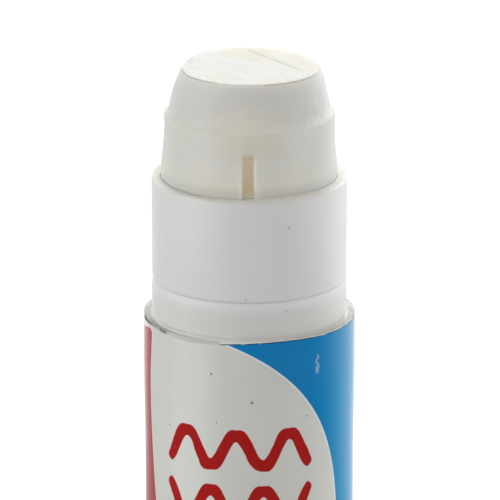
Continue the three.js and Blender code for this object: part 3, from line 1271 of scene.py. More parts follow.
def settle(
    piece: bpy.types.Object, body: str, node: str, slot: Finishes, *finishes: bpy.types.Material
) -> None:
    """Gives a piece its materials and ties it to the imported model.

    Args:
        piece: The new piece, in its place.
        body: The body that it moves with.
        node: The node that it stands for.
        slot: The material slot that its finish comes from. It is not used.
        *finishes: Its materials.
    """
    for finish in finishes:
        piece.data.materials.append(finish)
    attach(piece, body)
    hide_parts(node)
    log.info("%s: %d faces, on %s, for %s", piece.name, len(piece.data.polygons), body, node)


def node_sizes(node: str) -> tuple[Vector, Vector]:
    """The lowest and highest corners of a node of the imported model, in millimetres."""
    low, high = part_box(node)
    return low / MM, high / MM


# Sub-assemblies


@dataclass
class Barrel:
    """The moulded tube: neck, shoulder, body, and the two ribs inside it."""

    finish: bpy.types.Material
    bore: float = 11.05
    neck: float = 12.05
    neck_length: float = 18.3
    line_drop: float = 12.95
    line_width: float = 1.1
    line_depth: float = 0.14
    skirt: float = 11.4
    skirt_depth: float = 2.6
    floor: float = 1.4
    hole: float = 3.75
    rib_reach: float = 10.45
    rib_width: float = 1.06
    rib_drop: float = 5.6
    rib_ease: float = 0.12
    lip_front: float = 0.8
    lip_sides: Span = (0.72, 0.86)
    lip_reach: float = 0.19
    lip_rise: float = 0.05
    lip_dip: float = 0.15
    low: Vector = field(init=False)
    high: Vector = field(init=False)

    def __post_init__(self) -> None:
        """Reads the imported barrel's box."""
        self.low, self.high = node_sizes("barrel")

    @property
    def body(self) -> float:
        """The body's radius."""
        return self.high.x

    @property
    def shoulder(self) -> float:
        """The shoulder's height."""
        return self.high.z - self.neck_length

    def outline(self) -> list[Place]:
        """The outline from the skirt's foot, up the outside and down to the bore's rim.

        Returns:
            The outline's points.
        """
        line = self.high.z - self.line_drop
        return rounded(
            [
                (self.skirt, self.low.z + 1, 0),
                (self.skirt, self.low.z, 0.25),
                (self.body, self.low.z, 0.35),
                (self.body, self.shoulder, 0.45),
                (self.neck + 0.5, self.shoulder, 0.2),
                (self.neck + 0.03, self.shoulder + 0.6, 0.4),
                (self.neck + 0.03, line - self.line_width, 0.3),
                (self.neck - self.line_depth, line - 0.14, 0.12),
                (self.neck, line + 0.12, 0.12),
                (self.neck, self.high.z, 0.45),
                (self.bore, self.high.z, 0.14),
                (self.bore, self.high.z - 1, 0),
            ],
            steps=5,
        )

    def rim_ring(self, radius: float, height: float) -> Ring:
        """A ring of the outline.

        A thin, uneven lip of dried glue runs all round the rim's inner edge. It reaches further in at the two
        sides, and it dips at the left, the front and the back.

        Args:
            radius: The ring's radius.
            height: Its height.

        Returns:
            The ring.
        """
        near = smooth(self.high.z - 0.4, self.high.z - 0.3, height)
        near *= 1 - smooth(self.bore, self.bore + 0.5, radius)

        def place(bearing: float) -> Place:
            """The outline at a bearing.

            Args:
                bearing: The bearing.

            Returns:
                The radius and the height there.
            """
            sideways = math.sin(bearing)
            side = self.lip_front + (1 - self.lip_front) * smooth(*self.lip_sides, abs(sideways))
            lip = near * side * min(1.0, max(0.6, 0.8 + rumple(bearing, 0.0, 1.0, 6.6)))
            dip = self.lip_dip * near * (1 - smooth(-0.2, 0.4, sideways))
            return radius - self.lip_reach * lip, height + self.lip_rise * lip - dip

        return place if near else ring(radius, height)

    def bore_ring(self, height: float) -> Ring:
        """A ring of the bore where the ribs push it inwards.

        Args:
            height: Its height.

        Returns:
            The ring.
        """
        half = self.rib_width / 2

        def place(bearing: float) -> Place:
            """The bore's wall at a bearing.

            Args:
                bearing: The bearing.

            Returns:
                The radius and the height there.
            """
            off = abs(math.sin(bearing)) * self.bore
            share = 1 - smooth(half - 0.02, half + self.rib_ease, off)
            return self.bore - (self.bore - self.rib_reach) * share, height

        return place

    def bearings(self) -> list[float]:
        """The bearings of the barrel's rings, with closer ones at the ribs' sides.

        Returns:
            The bearings.
        """
        edge = math.asin(self.rib_width / 2 / self.bore)
        extras = [
            side + way * (edge + shift)
            for side in (0, math.pi)
            for way in (-1, 1)
            for shift in (-0.012, -0.004, 0.004, 0.012)
        ]
        return even_bearings(240, extras)

    def build(self) -> bpy.types.Object:
        """Builds the barrel.

        Returns:
            The barrel.
        """
        skin = Skin("barrel_moulding", self.bearings())
        floor_top = self.low.z + self.skirt_depth + self.floor
        rib_top = self.high.z - self.rib_drop
        rings = [self.rim_ring(*place) for place in self.outline()]
        rings.append(ring(self.bore, rib_top + self.rib_ease))
        rings += [self.bore_ring(rib_top), self.bore_ring(floor_top + 0.3)]
        floor = rounded(
            [
                (self.rib_reach, floor_top, 0),
                (self.hole, floor_top, 0.15),
                (self.hole, floor_top - self.floor, 0.15),
                (self.skirt, floor_top - self.floor, 0.3),
                (self.skirt, self.low.z + 1.2, 0),
            ]
        )
        rings += [ring(*place) for place in floor]
        skin.turn(rings, closed=True)
        piece = skin.finish()
        settle(piece, "barrel", "barrel", Finishes.PLASTIC, self.finish)
        return piece


class FilmSide(Enum):
    """The sides of the label's film, as the numbers of their materials."""

    PRINT = 0
    EDGE = 1
    SHADOW_LINE = 2
    BACK = 3


@dataclass
class Label:
    """The printed film, wrapped once round the body with its ends overlapping at the back.

    A bevel is given by its bearing and its reach, both in degrees, and its depth.
    """

    print_finish: bpy.types.Material
    edge_finish: bpy.types.Material
    shadow_line_finish: bpy.types.Material
    back_finish: bpy.types.Material
    thickness: float = 0.07
    overlap: float = math.radians(15)
    seam: float = math.radians(232)
    lap: Span = (0.12, 0.02)
    lift: float = 0.08
    lift_depth: float = 1.6
    slack: float = 0.13
    slack_span: Span = (18.0, 6.0)
    rim_rise: float = 0.2
    rim_wave: float = 0.13
    crest: float = math.radians(20)
    crest_reach: float = math.radians(15)
    crest_rise: float = 0.15
    bevel_depth: float = 0.09
    bevels: tuple[Mark, ...] = ((325.0, 24.0, 0.36), (281.0, 9.0, 0.15))
    bevel_rumple: float = 0.04
    # The height of the strip just under the cut edge that carries the painted shadow line.
    line_width: float = 0.14
    edge_depth: float = 0.6
    edge_round: Place = (0.022, 0.012)
    columns: int = 420
    rows: int = 40

    def rim(self, bearing: float, top: float) -> float:
        """The height of the cut edge, which wanders a little and has one crest.

        Args:
            bearing: The bearing of the place.
            top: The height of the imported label's edge.

        Returns:
            The height.
        """
        wander = rumple(bearing, 0.0, 4.0, 3.1) * 0.7 + rumple(bearing, 0.0, 1.1, 8.2) * 0.3
        crest = self.crest_rise * hump(turned_from(self.crest, bearing), self.crest_reach)
        return top + self.rim_rise - self.rim_wave * (0.5 + 0.5 * wander) + crest

    def bevel(self, bearing: float) -> float:
        """How far down the film's edge is cut at a slant, which is most at the left of the front.

        Args:
            bearing: The bearing of the place.

        Returns:
            The depth in millimetres.
        """
        place = math.degrees(bearing) % 360
        cuts = sum(depth * hump(place - middle, reach) for middle, reach, depth in self.bevels)
        return self.bevel_depth + cuts + self.bevel_rumple * rumple(bearing, 5.0, 1.4, 1.7)

    def loose(self, bearing: float, height: float, top: float) -> float:
        """How far the film stands off the barrel.

        Args:
            bearing: The bearing of the place.
            height: Its height.
            top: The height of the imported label's edge.

        Returns:
            The distance in millimetres.
        """
        low, high = self.slack_span
        slack = self.slack * math.sin(bearing) ** 2 * smooth(top - low, top - high, height)
        return slack + smooth(top - self.lift_depth, top, height) * self.lift * rumple(bearing, 0.0, 6.0, 5.4)

    def column(self, turned: float, low: Vector, high: Vector) -> list[Place]:
        """The film's section at one place along it.

        Args:
            turned: How far round the place is from where the film starts.
            low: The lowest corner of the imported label.
            high: Its highest corner.

        Returns:
            The section's points: up the outside, over the cut edge and down the inside.
        """
        bearing = self.seam + turned
        top = self.rim(bearing, high.z)
        cut = self.bevel(bearing)
        foot = high.z - self.edge_depth
        heights = [low.z + step * (foot - low.z) / self.rows for step in range(self.rows + 1)]
        heights += [top - cut - self.line_width, top - cut]
        start, end = self.lap
        base = high.x - self.thickness + smooth(TURN - start, TURN - end, turned) * self.thickness
        inside = [(base + self.loose(bearing, height, high.z), height) for height in heights]
        outside = [(radius + self.thickness, height) for radius, height in inside]
        middle = inside[-1][0] + self.thickness / 2
        wide, deep = self.edge_round
        return [*outside, (middle + wide, top - deep), (middle - wide, top - deep), *reversed(inside)]

    def side_of(self, row: int, count: int) -> FilmSide:
        """Which side of the film a row of faces is on.

        Args:
            row: The row's number, up the outside, over the cut edge and down the inside.
            count: How many rows there are.

        Returns:
            The side.
        """
        line = self.rows + 1
        if row == line:
            return FilmSide.SHADOW_LINE
        if line < row < line + 4:
            return FilmSide.EDGE
        return FilmSide.BACK if line < row < count - 1 else FilmSide.PRINT

    def build(self) -> bpy.types.Object:
        """Builds the film as a strip with two faces and four edges.

        Returns:
            The film.
        """
        low, high = node_sizes("label_sleeve")
        skin = Skin("label_film", [])
        columns = []
        for step in range(self.columns + 1):
            turned = (TURN + self.overlap) * step / self.columns
            section = self.column(turned, low, high)
            columns.append([skin.point(self.seam + turned, place) for place in section])
        count = len(columns[0])
        for before, after in zip(columns, columns[1:]):
            for row in range(count):
                following = (row + 1) % count
                face = skin.mesh.faces.new((before[row], after[row], after[following], before[following]))
                face.material_index = self.side_of(row, count).value
        skin.mesh.faces.new(columns[0])
        skin.mesh.faces.new(list(reversed(columns[-1])))
        piece = skin.finish(crease=50)
        finishes = (self.print_finish, self.edge_finish, self.shadow_line_finish, self.back_finish)
        settle(piece, "barrel", "label_sleeve", Finishes.LABEL, *finishes)
        return piece


@dataclass(frozen=True)
class Chip:
    """A broken patch of the glue's surface, round a bearing and a height above the ledge."""

    bearing: float
    width: float
    level: float
    height: float
    depth: float

    def cut(self, bearing: float, height: float, ledge: float) -> float:
        """How deep the patch is at a place.

        Args:
            bearing: The bearing of the place.
            height: Its height.
            ledge: The height of the ledge.

        Returns:
            The depth in millimetres.
        """
        near = hump(turned_from(self.bearing, bearing), self.width)
        near *= hump(height - ledge - self.level, self.height)
        return self.depth * near * max(0.0, 0.5 + 0.9 * rumple(bearing, height, 0.9, self.bearing))


@dataclass
class Glue:
    """The mass of glue: bored for the spindle, grooved by the ribs, moulded at its head and cut on top.

    A flat is given by its bearing and its depth. A smear's ends are in degrees from the front: where it
    starts to thin out on the left and on the right, and where it has gone.
    """

    finish: bpy.types.Material
    form: GlueForm
    piston: float = 10.9
    cup: float = 9.65
    cup_depth: float = 9.0
    bore: float = 3.85
    bore_top: float = 93.3
    ledge_radius: float = 10.53
    ledge_dip: float = 0.42
    band: float = 3.8
    flare: float = 3.8
    waist: float = 0.1
    waist_drop: float = 1.9
    head_foot: float = 9.95
    head_top: float = 8.44
    head_bulge: float = 0.37
    head_height: float = 5.5
    head_steps: int = 16
    top_shift: float = 0.2
    edge_depth: float = 0.9
    flats: tuple[Place, ...] = ((math.radians(-101), 0.22), (math.radians(97), 0.14))
    flat_reach: float = 0.26
    facet_drop: float = 0.22
    facet_reach: float = 0.2
    groove_lip: float = 0.035
    groove_end: float = 0.14
    smear_height: float = 2.6
    smear_foot: float = 0.3
    smear_ends: Mark = (60.0, 40.0, 86.0)
    smear_share: float = 0.95
    chips: tuple[Chip, ...] = (
        Chip(math.radians(62), 0.34, 0.8, 1.5, 0.2),
        Chip(math.radians(86), 0.16, 2.4, 1.2, 0.14),
        Chip(math.radians(-96), 0.2, 0.2, 0.8, 0.14),
        Chip(math.radians(205), 0.3, -0.1, 0.9, 0.16),
    )
    cut_spacing: Place = (0.5, 0.17)
    cut_steps: tuple[int, int] = (22, 60)

    def shape(self) -> list[Place]:
        """The outline of the side, from the foot to the edge of the cut.

        Returns:
            The outline's points.
        """
        low, high = node_sizes("glue")
        ledge = self.form.ledge
        head = high.z - ledge
        corners = [
            (self.cup, low.z, 0),
            (self.cup, low.z + self.cup_depth, 0.1),
            (self.piston, low.z + self.cup_depth, 0.1),
            (self.piston, ledge - self.band - self.flare, 1.2),
            (self.ledge_radius, ledge - self.band, 0.6),
            (self.ledge_radius, self.form.groove_top - self.groove_end, 0),
            (self.ledge_radius, self.form.groove_top + self.groove_end, 0),
            (self.ledge_radius, ledge - 0.15, 0.25),
            (self.head_foot + 0.04, ledge + 0.2, 0.35),
            (self.head_foot - 0.16, ledge + 0.2 + head * 0.18, 0),
        ]
        points = divided(rounded(corners, steps=6), 0.45)
        for step in range(4, self.head_steps + 1):
            share = step / self.head_steps
            radius = head_radius(self.head_foot, self.head_top, self.head_bulge, share)
            points.append((radius, ledge + 0.15 + (head - 0.15) * share))
        return points

    def side(self, radius: float, height: float) -> Ring:
        """A ring of the side, with its dents and grooves."""
        return lambda bearing: (self.reach(bearing, radius, height), height - self.drop(bearing, height))

    def reach(self, bearing: float, radius: float, height: float) -> float:
        """How far out the side is at a place.

        Args:
            bearing: The bearing of the place.
            radius: The radius of the moulded shape there.
            height: The height of the place.

        Returns:
            The radius of the worn and cut side.
        """
        above = height - self.form.ledge
        sideways = math.sin(bearing)
        reach = radius + 0.035 * rumple(bearing, height, 5.0, 2.0, stretch=2.5)
        reach += 0.016 * rumple(bearing, height, 1.2, 6.0, stretch=5.0)
        reach += self.smear(bearing, radius, height)
        reach -= self.waist * hump(above + self.waist_drop, 1.0) * smooth(0.5, 1.0, -sideways)
        reach += self.top_shift * smooth(0.0, self.head_height, above) * sideways
        edge = self.edge(height)
        reach += edge * (0.09 * rumple(bearing, 0.0, 3.2, 4.4) + 0.05 * rumple(bearing, 0.0, 1.0, 7.7))
        for middle, deep in self.flats:
            reach -= deep * edge * hump(turned_from(middle, bearing), self.flat_reach)
        reach -= sum(chip.cut(bearing, height, self.form.ledge) for chip in self.chips)
        return self.grooved(bearing, reach, height)

    def edge(self, height: float) -> float:
        """How near a height is to the edge of the cut, from 0 to 1."""
        return smooth(self.head_height - self.edge_depth, self.head_height, height - self.form.ledge)

    def drop(self, bearing: float, height: float) -> float:
        """How far a place of the side has sunk, at the left of the cut and at the left of the ledge.

        Args:
            bearing: The bearing of the place.
            height: Its height.

        Returns:
            The distance in millimetres.
        """
        facet = hump(turned_from(self.flats[0][0], bearing), self.facet_reach) * self.edge(height)
        dip = hump(height - self.form.ledge, 0.9) * smooth(0.7, 0.97, -math.sin(bearing))
        return self.facet_drop * facet + self.ledge_dip * dip

    def grooved(self, bearing: float, reach: float, height: float) -> float:
        """Cuts the front and the back groove into the side.

        Args:
            bearing: The bearing of the place.
            reach: The radius of the side there.
            height: The height of the place.

        Returns:
            The radius with the grooves, each with a raised lip on its left.
        """
        form = self.form
        half = form.groove_width / 2
        off = abs(reach * math.sin(bearing) - form.groove_shift)
        below = 1 - smooth(form.groove_top - self.groove_end, form.groove_top + self.groove_end, height)
        cut = (form.groove_radius - reach) * (1 - smooth(half - 0.12, half + 0.3, off))
        lip = smooth(half + 0.15, half + 0.3, off) * (1 - smooth(half + 0.3, half + 0.75, off))
        raised = self.groove_lip * lip if math.sin(bearing) < 0 else 0.0
        return reach + below * (cut + raised)

    def smear(self, bearing: float, radius: float, height: float) -> float:
        """How far glue that was smeared over the front of the ledge stands off the moulded shape.

        Args:
            bearing: The bearing of the place.
            radius: The radius of the moulded shape there.
            height: The height of the place.

        Returns:
            The distance in millimetres.
        """
        above = height - self.form.ledge + self.smear_foot
        if above <= 0:
            return 0.0
        slope = (self.ledge_radius - self.head_foot + 0.25) / self.smear_height
        over = max(0.0, self.ledge_radius - above * slope - radius)
        left, right, end = self.smear_ends
        start = math.radians(left if math.sin(bearing) < 0 else right)
        turned = abs(turned_from(0.0, bearing)) + 0.12 * rumple(bearing, height, 4.0, 3.3)
        return over * (1 - smooth(start, math.radians(end), turned)) * self.smear_share

    def bearings(self) -> list[float]:
        """The bearings of the glue's rings, with closer ones at the grooves."""
        extras = [side + math.radians(0.3 * step) for side in (0, math.pi) for step in range(-21, 22)]
        return even_bearings(300, extras)

    def cut_height(self, x: float, y: float, top: float) -> float:
        """The height of the knife's cut at a place, with its scores and its one deep line.

        Args:
            x: The place to the right, in millimetres.
            y: The place to the back.
            top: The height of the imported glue.

        Returns:
            The height in millimetres.
        """
        across, along = self.form.across(x, y), self.form.along(x, y)
        score = 0.03 * noise.noise(Vector((across * 2.2, along * 0.05, 1.5)))
        score += 0.02 * noise.noise(Vector((across * 6.0, along * 0.08, 4.5)))
        beyond = across - self.form.knife_line + 0.15 * noise.noise(Vector((along * 0.4, 0.0, 9.0)))
        notch = 0.13 * hump(beyond, 0.12) * (1 - smooth(3.5, 6.5, along))
        return top - 0.06 + score + 0.06 * smooth(-0.1, 0.1, beyond) - notch

    def cut_points(self, reach: float) -> list[Vector]:
        """Points on the cut, close together across the knife's lines.

        Args:
            reach: How far from the cut's middle they may lie, in millimetres.

        Returns:
            The points.
        """
        turn = self.form.knife
        columns, rows = self.cut_steps
        points = []
        for row in range(-rows, rows + 1):
            for column in range(-columns, columns + 1):
                along = (column + 0.5 * (row % 2)) * self.cut_spacing[0]
                across = row * self.cut_spacing[1]
                x = along * math.cos(turn) + across * math.sin(turn)
                y = along * math.sin(turn) - across * math.cos(turn)
                if math.hypot(x - self.top_shift, y) < reach:
                    points.append(Vector((x, y)))
        return points

    def cut(self, skin: Skin, rim: Points, top: float) -> None:
        """Closes the top with the face that the knife left.

        Args:
            skin: The glue's skin.
            rim: The points round the edge of the cut.
            top: The height of the cut.
        """
        outline = [Vector((point.co.x / MM, point.co.y / MM)) for point in rim]
        inside = self.cut_points(min(point.length for point in outline) - 0.15)
        count = len(outline)
        edges = [(step, (step + 1) % count) for step in range(count)]
        points, _, triangles, sources, _, _ = delaunay_2d_cdt(outline + inside, edges, [], 1, 1e-6)
        corners = []
        for point, source in zip(points, sources):
            rims = [index for index in source if index < count]
            if rims:
                corners.append(rim[rims[0]])
            else:
                height = self.cut_height(point.x, point.y, top)
                corners.append(skin.mesh.verts.new((point.x * MM, point.y * MM, height * MM)))
        for triangle in triangles:
            skin.mesh.faces.new([corners[index] for index in triangle])

    def build(self) -> bpy.types.Object:
        """Builds the glue.

        Returns:
            The glue.
        """
        low, high = node_sizes("glue")
        skin = Skin("glue_mass", self.bearings())
        bore = rounded(
            [
                (0, self.bore_top, 0),
                (self.bore, self.bore_top, 0.4),
                (self.bore, low.z, 0.2),
                (self.cup, low.z, 0),
            ]
        )
        rings = [ring(*place) for place in bore[:-1]]
        rings += [self.side(*place) for place in self.shape()]
        loops = skin.turn(rings)
        self.cut(skin, loops[-1], high.z)
        piece = skin.finish(crease=50)
        settle(piece, "carrier", "glue", Finishes.GLUE, self.finish)
        return piece


@dataclass
class Spindle:
    """The threaded rod, with the collar that it turns on and the tang that the knob is pressed on."""

    finish: bpy.types.Material
    core: float = 2.5
    depth: float = 1.0
    lead: float = 4.0
    root: float = 1.7
    crest: float = 0.9
    tang: float = 2.9
    tang_length: float = 7.7
    tang_chamfer: float = 0.4
    tang_edge: float = 0.06
    journal: float = 3.6
    collar: float = 6.0
    collar_foot: float = 15.7
    collar_thickness: float = 1.5
    taper: float = 1.0

    def tang_ring(self, shrink: float, height: float) -> Ring:
        """A six-sided ring with slightly blunted corners, drawn in by so much."""
        blunt = self.tang - self.tang_edge
        return lambda bearing: (min(hexagon(self.tang, bearing), blunt) - shrink, height)

    def build(self) -> bpy.types.Object:
        """Builds the spindle.

        Returns:
            The spindle.
        """
        low, high = node_sizes("spindle")
        skin = Skin("threaded_spindle", even_bearings(96))
        shaft = low.z + self.tang_length
        collar_top = self.collar_foot + self.collar_thickness
        foot = [
            ring(0, low.z),
            self.tang_ring(self.tang_chamfer, low.z),
            self.tang_ring(0.0, low.z + self.tang_chamfer),
            self.tang_ring(0.0, shaft - 0.02),
        ]
        body = rounded(
            [
                (self.tang, shaft, 0),
                (self.journal, shaft, 0.1),
                (self.journal, self.collar_foot, 0.15),
                (self.collar, self.collar_foot, 0.2),
                (self.collar, collar_top, 0.25),
                (self.core, collar_top, 0.3),
                (self.core, collar_top + 0.4, 0),
            ]
        )
        lower = skin.turn(foot + [ring(*place) for place in body])
        end = rounded(
            [
                (self.core, high.z - self.taper, 0),
                (self.core, high.z - self.taper / 2, 0.2),
                (self.core - self.taper / 2, high.z, 0.2),
                (0, high.z, 0),
            ]
        )
        upper = skin.turn([ring(*place) for place in end])
        Thread(self.core, self.depth, self.lead, self.root, self.crest).wall(skin, lower[-1], upper[0])
        piece = skin.finish(crease=40)
        settle(piece, "knob", "spindle", Finishes.PLASTIC, self.finish)
        return piece


@dataclass
class Knob:
    """The fluted grip ring, with the boss and webs inside it that drive the spindle."""

    finish: bpy.types.Material
    flutes: int = 40
    flute_depth: float = 0.45
    flute_shares: Span = (0.09, 0.21)
    band_margin: float = 1.2
    recess: Span = (4.4, 9.6)
    recess_slope: float = 0.3
    recess_depth: float = 0.35
    grip_top: float = 11.0
    spigot: float = 11.1
    spigot_top: float = 13.7
    cavity: float = 10.1
    floor: float = 1.8
    boss: float = 4.6
    socket: float = 3.02
    socket_foot: float = 6.0
    web_count: int = 4
    web_half: float = 0.5
    web_top: float = 7.8
    web_margin: float = 0.5

    def well(self, radius: float, height: float) -> Ring:
        """A ring of the cavity's floor, raised where a web crosses it.

        Args:
            radius: The ring's radius.
            height: The floor's height.

        Returns:
            The ring.
        """

        def place(bearing: float) -> Place:
            """The floor at a bearing.

            Args:
                bearing: The bearing.

            Returns:
                The radius and the height there.
            """
            quarter = TURN / self.web_count
            off = abs((bearing + quarter / 2) % quarter - quarter / 2) * (self.boss + self.cavity) / 2
            share = 1 - smooth(self.web_half - 0.02, self.web_half + 0.1, off)
            return radius, height + (self.web_top - height) * share

        return place

    def socket_ring(self, height: float) -> Ring:
        """A six-sided ring of the boss's socket."""
        return lambda bearing: (hexagon(self.socket, bearing), height)

    def inside(self) -> list[Ring]:
        """The rings of the cavity, the webs, the boss and its socket.

        Returns:
            The rings, from the cavity's wall inwards.
        """
        return [
            self.well(self.cavity, self.floor),
            self.well(self.boss, self.floor),
            ring(self.boss, self.web_top + self.web_margin),
            ring(self.boss, self.spigot_top),
            self.socket_ring(self.spigot_top),
            self.socket_ring(self.socket_foot),
            ring(0, self.socket_foot),
        ]

    def build(self) -> bpy.types.Object:
        """Builds the knob.

        Returns:
            The knob.
        """
        high = node_sizes("knob")[1]
        radius = high.x
        top = high.z - (self.spigot_top - self.grip_top)
        band = (self.band_margin, top - self.band_margin)
        grip = Grip(self.flutes, self.flute_depth, *band, *self.flute_shares)
        skin = Skin("grip_knob", even_bearings(480))
        inner, outer = self.recess
        foot = rounded(
            [
                (0, 0, 0),
                (inner, 0, 0.2),
                (inner + self.recess_slope, self.recess_depth, 0.2),
                (outer - self.recess_slope, self.recess_depth, 0.2),
                (outer, 0, 0.2),
                (radius, 0, 0.6),
                (radius, self.band_margin - 0.1, 0),
            ]
        )
        shoulder = rounded(
            [
                (radius, top - self.band_margin + 0.1, 0),
                (radius, top, 0.6),
                (self.spigot, top, 0.2),
                (self.spigot, self.spigot_top, 0.35),
                (self.cavity, self.spigot_top, 0.2),
                (self.cavity, self.web_top + self.web_margin, 0),
            ]
        )
        rings = [ring(*place) for place in foot] + grip.rings(radius) + [ring(*place) for place in shoulder]
        skin.turn(rings + self.inside())
        piece = skin.finish()
        settle(piece, "knob", "knob", Finishes.PLASTIC, self.finish)
        return piece


@dataclass
class Cap:
    """The push-on cap with fine upright ribs outside, and a bead and a sealing plug inside."""

    finish: bpy.types.Material
    ribs: int = 48
    rib_depth: float = 0.22
    rib_shares: Span = (0.12, 0.3)
    band_low: float = 2.4
    band_high: float = 21.5
    edge: float = 1.15
    wall: float = 0.9
    ceiling: float = 1.3
    plug_outer: float = 10.95
    plug_foot: float = 15.8
    plug_seal: float = 4.0
    plug_step: float = 0.5
    head_foot: float = 10.05
    head_top: float = 8.6
    head_bulge: float = 0.37
    head_height: float = 5.5
    head_steps: int = 6
    bead_height: float = 5.35
    bead_reach: float = 0.25
    bead: float = 0.08
    recess: float = 9.4
    recess_slope: float = 0.3
    recess_depth: float = 0.22
    gate: float = 1.5
    gate_depth: float = 0.36
    nub: float = 0.7
    nub_depth: float = 0.2

    def inside(self, radius: float, top: float) -> list[Place]:
        """The outline of the inside and the mouth.

        Args:
            radius: The cap's outer radius.
            top: Its height.

        Returns:
            The outline's points, from the middle of the ceiling to the foot of the ribs.
        """
        bore = radius - self.wall
        ceiling = top - self.ceiling
        seal = self.plug_foot + self.plug_seal
        plug = []
        for step in range(self.head_steps, -1, -1):
            share = step / self.head_steps
            reach = head_radius(self.head_foot, self.head_top, self.head_bulge, share)
            plug.append((reach, self.plug_foot + 0.15 + (self.head_height - 0.15) * share, 0))
        return rounded(
            [
                (0, ceiling, 0),
                (self.head_top, ceiling, 0.6),
                *plug,
                (self.head_foot, self.plug_foot, 0.1),
                (self.plug_outer, self.plug_foot, 0.2),
                (self.plug_outer, seal, 0.2),
                (self.plug_outer - self.plug_step, seal + self.plug_step, 0.2),
                (self.plug_outer - self.plug_step, ceiling, 0.3),
                (bore, ceiling, 0.3),
                (bore, self.bead_height + self.bead_reach, 0.1),
                (bore - self.bead, self.bead_height, 0.1),
                (bore, self.bead_height - self.bead_reach, 0.1),
                (bore, 0, 0.3),
                (radius, 0, 0.3),
                (radius, self.band_low - 0.1, 0),
            ]
        )

    def outside(self, radius: float, top: float) -> list[Place]:
        """The outline of the top, with its shallow recess and the mark of the mould's gate.

        Args:
            radius: The cap's outer radius.
            top: Its height.

        Returns:
            The outline's points, from the head of the ribs to the middle of the top.
        """
        return rounded(
            [
                (radius, self.band_high + 0.1, 0),
                (radius, top, self.edge),
                (self.recess, top, 0.25),
                (self.recess - self.recess_slope, top - self.recess_depth, 0.25),
                (self.gate, top - self.recess_depth, 0.1),
                (self.gate - 0.2, top - self.gate_depth, 0.1),
                (self.nub, top - self.gate_depth, 0.1),
                (self.nub - 0.15, top - self.nub_depth, 0.1),
                (0, top - self.nub_depth, 0),
            ],
            steps=6,
        )

    def build(self) -> bpy.types.Object:
        """Builds the cap about its own axis and stands it in its place.

        Returns:
            The cap.
        """
        low, high = node_sizes("cap")
        middle = (low + high) / 2
        radius = (high.x - low.x) / 2
        grip = Grip(self.ribs, self.rib_depth, self.band_low, self.band_high, *self.rib_shares)
        skin = Skin("push_cap", even_bearings(480))
        rings = [ring(*place) for place in self.inside(radius, high.z)] + grip.rings(radius)
        skin.turn(rings + [ring(*place) for place in self.outside(radius, high.z)])
        piece = skin.finish()
        piece.location = (middle.x * MM, middle.y * MM, 0)
        settle(piece, "cap", "cap", Finishes.PLASTIC, self.finish)
        return piece


@dataclass
class Carrier:
    """The piston that holds the glue's foot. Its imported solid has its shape, so it only gets a finish."""

    finish: bpy.types.Material

    def dress(self) -> bpy.types.Object:
        """Gives the carrier its finish.

        Returns:
            The carrier.
        """
        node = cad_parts["carrier"]
        for place in node.material_slots:
            place.material = self.finish
        log.info("carrier: the packed solid, on carrier")
        return node


# Studio


def direction(bearing: float, elevation: float) -> Vector:
    """The way from the object to something, of length 1, from a bearing and an elevation in degrees."""
    turn, tilt = math.radians(bearing), math.radians(elevation)
    return Vector((math.sin(turn) * math.cos(tilt), -math.cos(turn) * math.cos(tilt), math.sin(tilt)))


@dataclass(frozen=True)
class SoftLamp:
    """A square soft lamp that looks at the object, in metres, degrees and watts."""

    name: str
    bearing: float
    elevation: float
    power: float
    size: float = 0.5
    distance: float = 1.1
    target_height: float = 0.07

    def build(self) -> None:
        """Adds the lamp."""
        way = direction(self.bearing, self.elevation)
        light = bpy.data.lights.new(self.name, "AREA")
        light.energy = self.power
        light.size = self.size
        lamp = bpy.data.objects.new(self.name, light)
        lamp.location = way * self.distance + Vector((0, 0, self.target_height))
        lamp.rotation_euler = way.to_track_quat("Z", "Y").to_euler()
        bpy.context.scene.collection.objects.link(lamp)


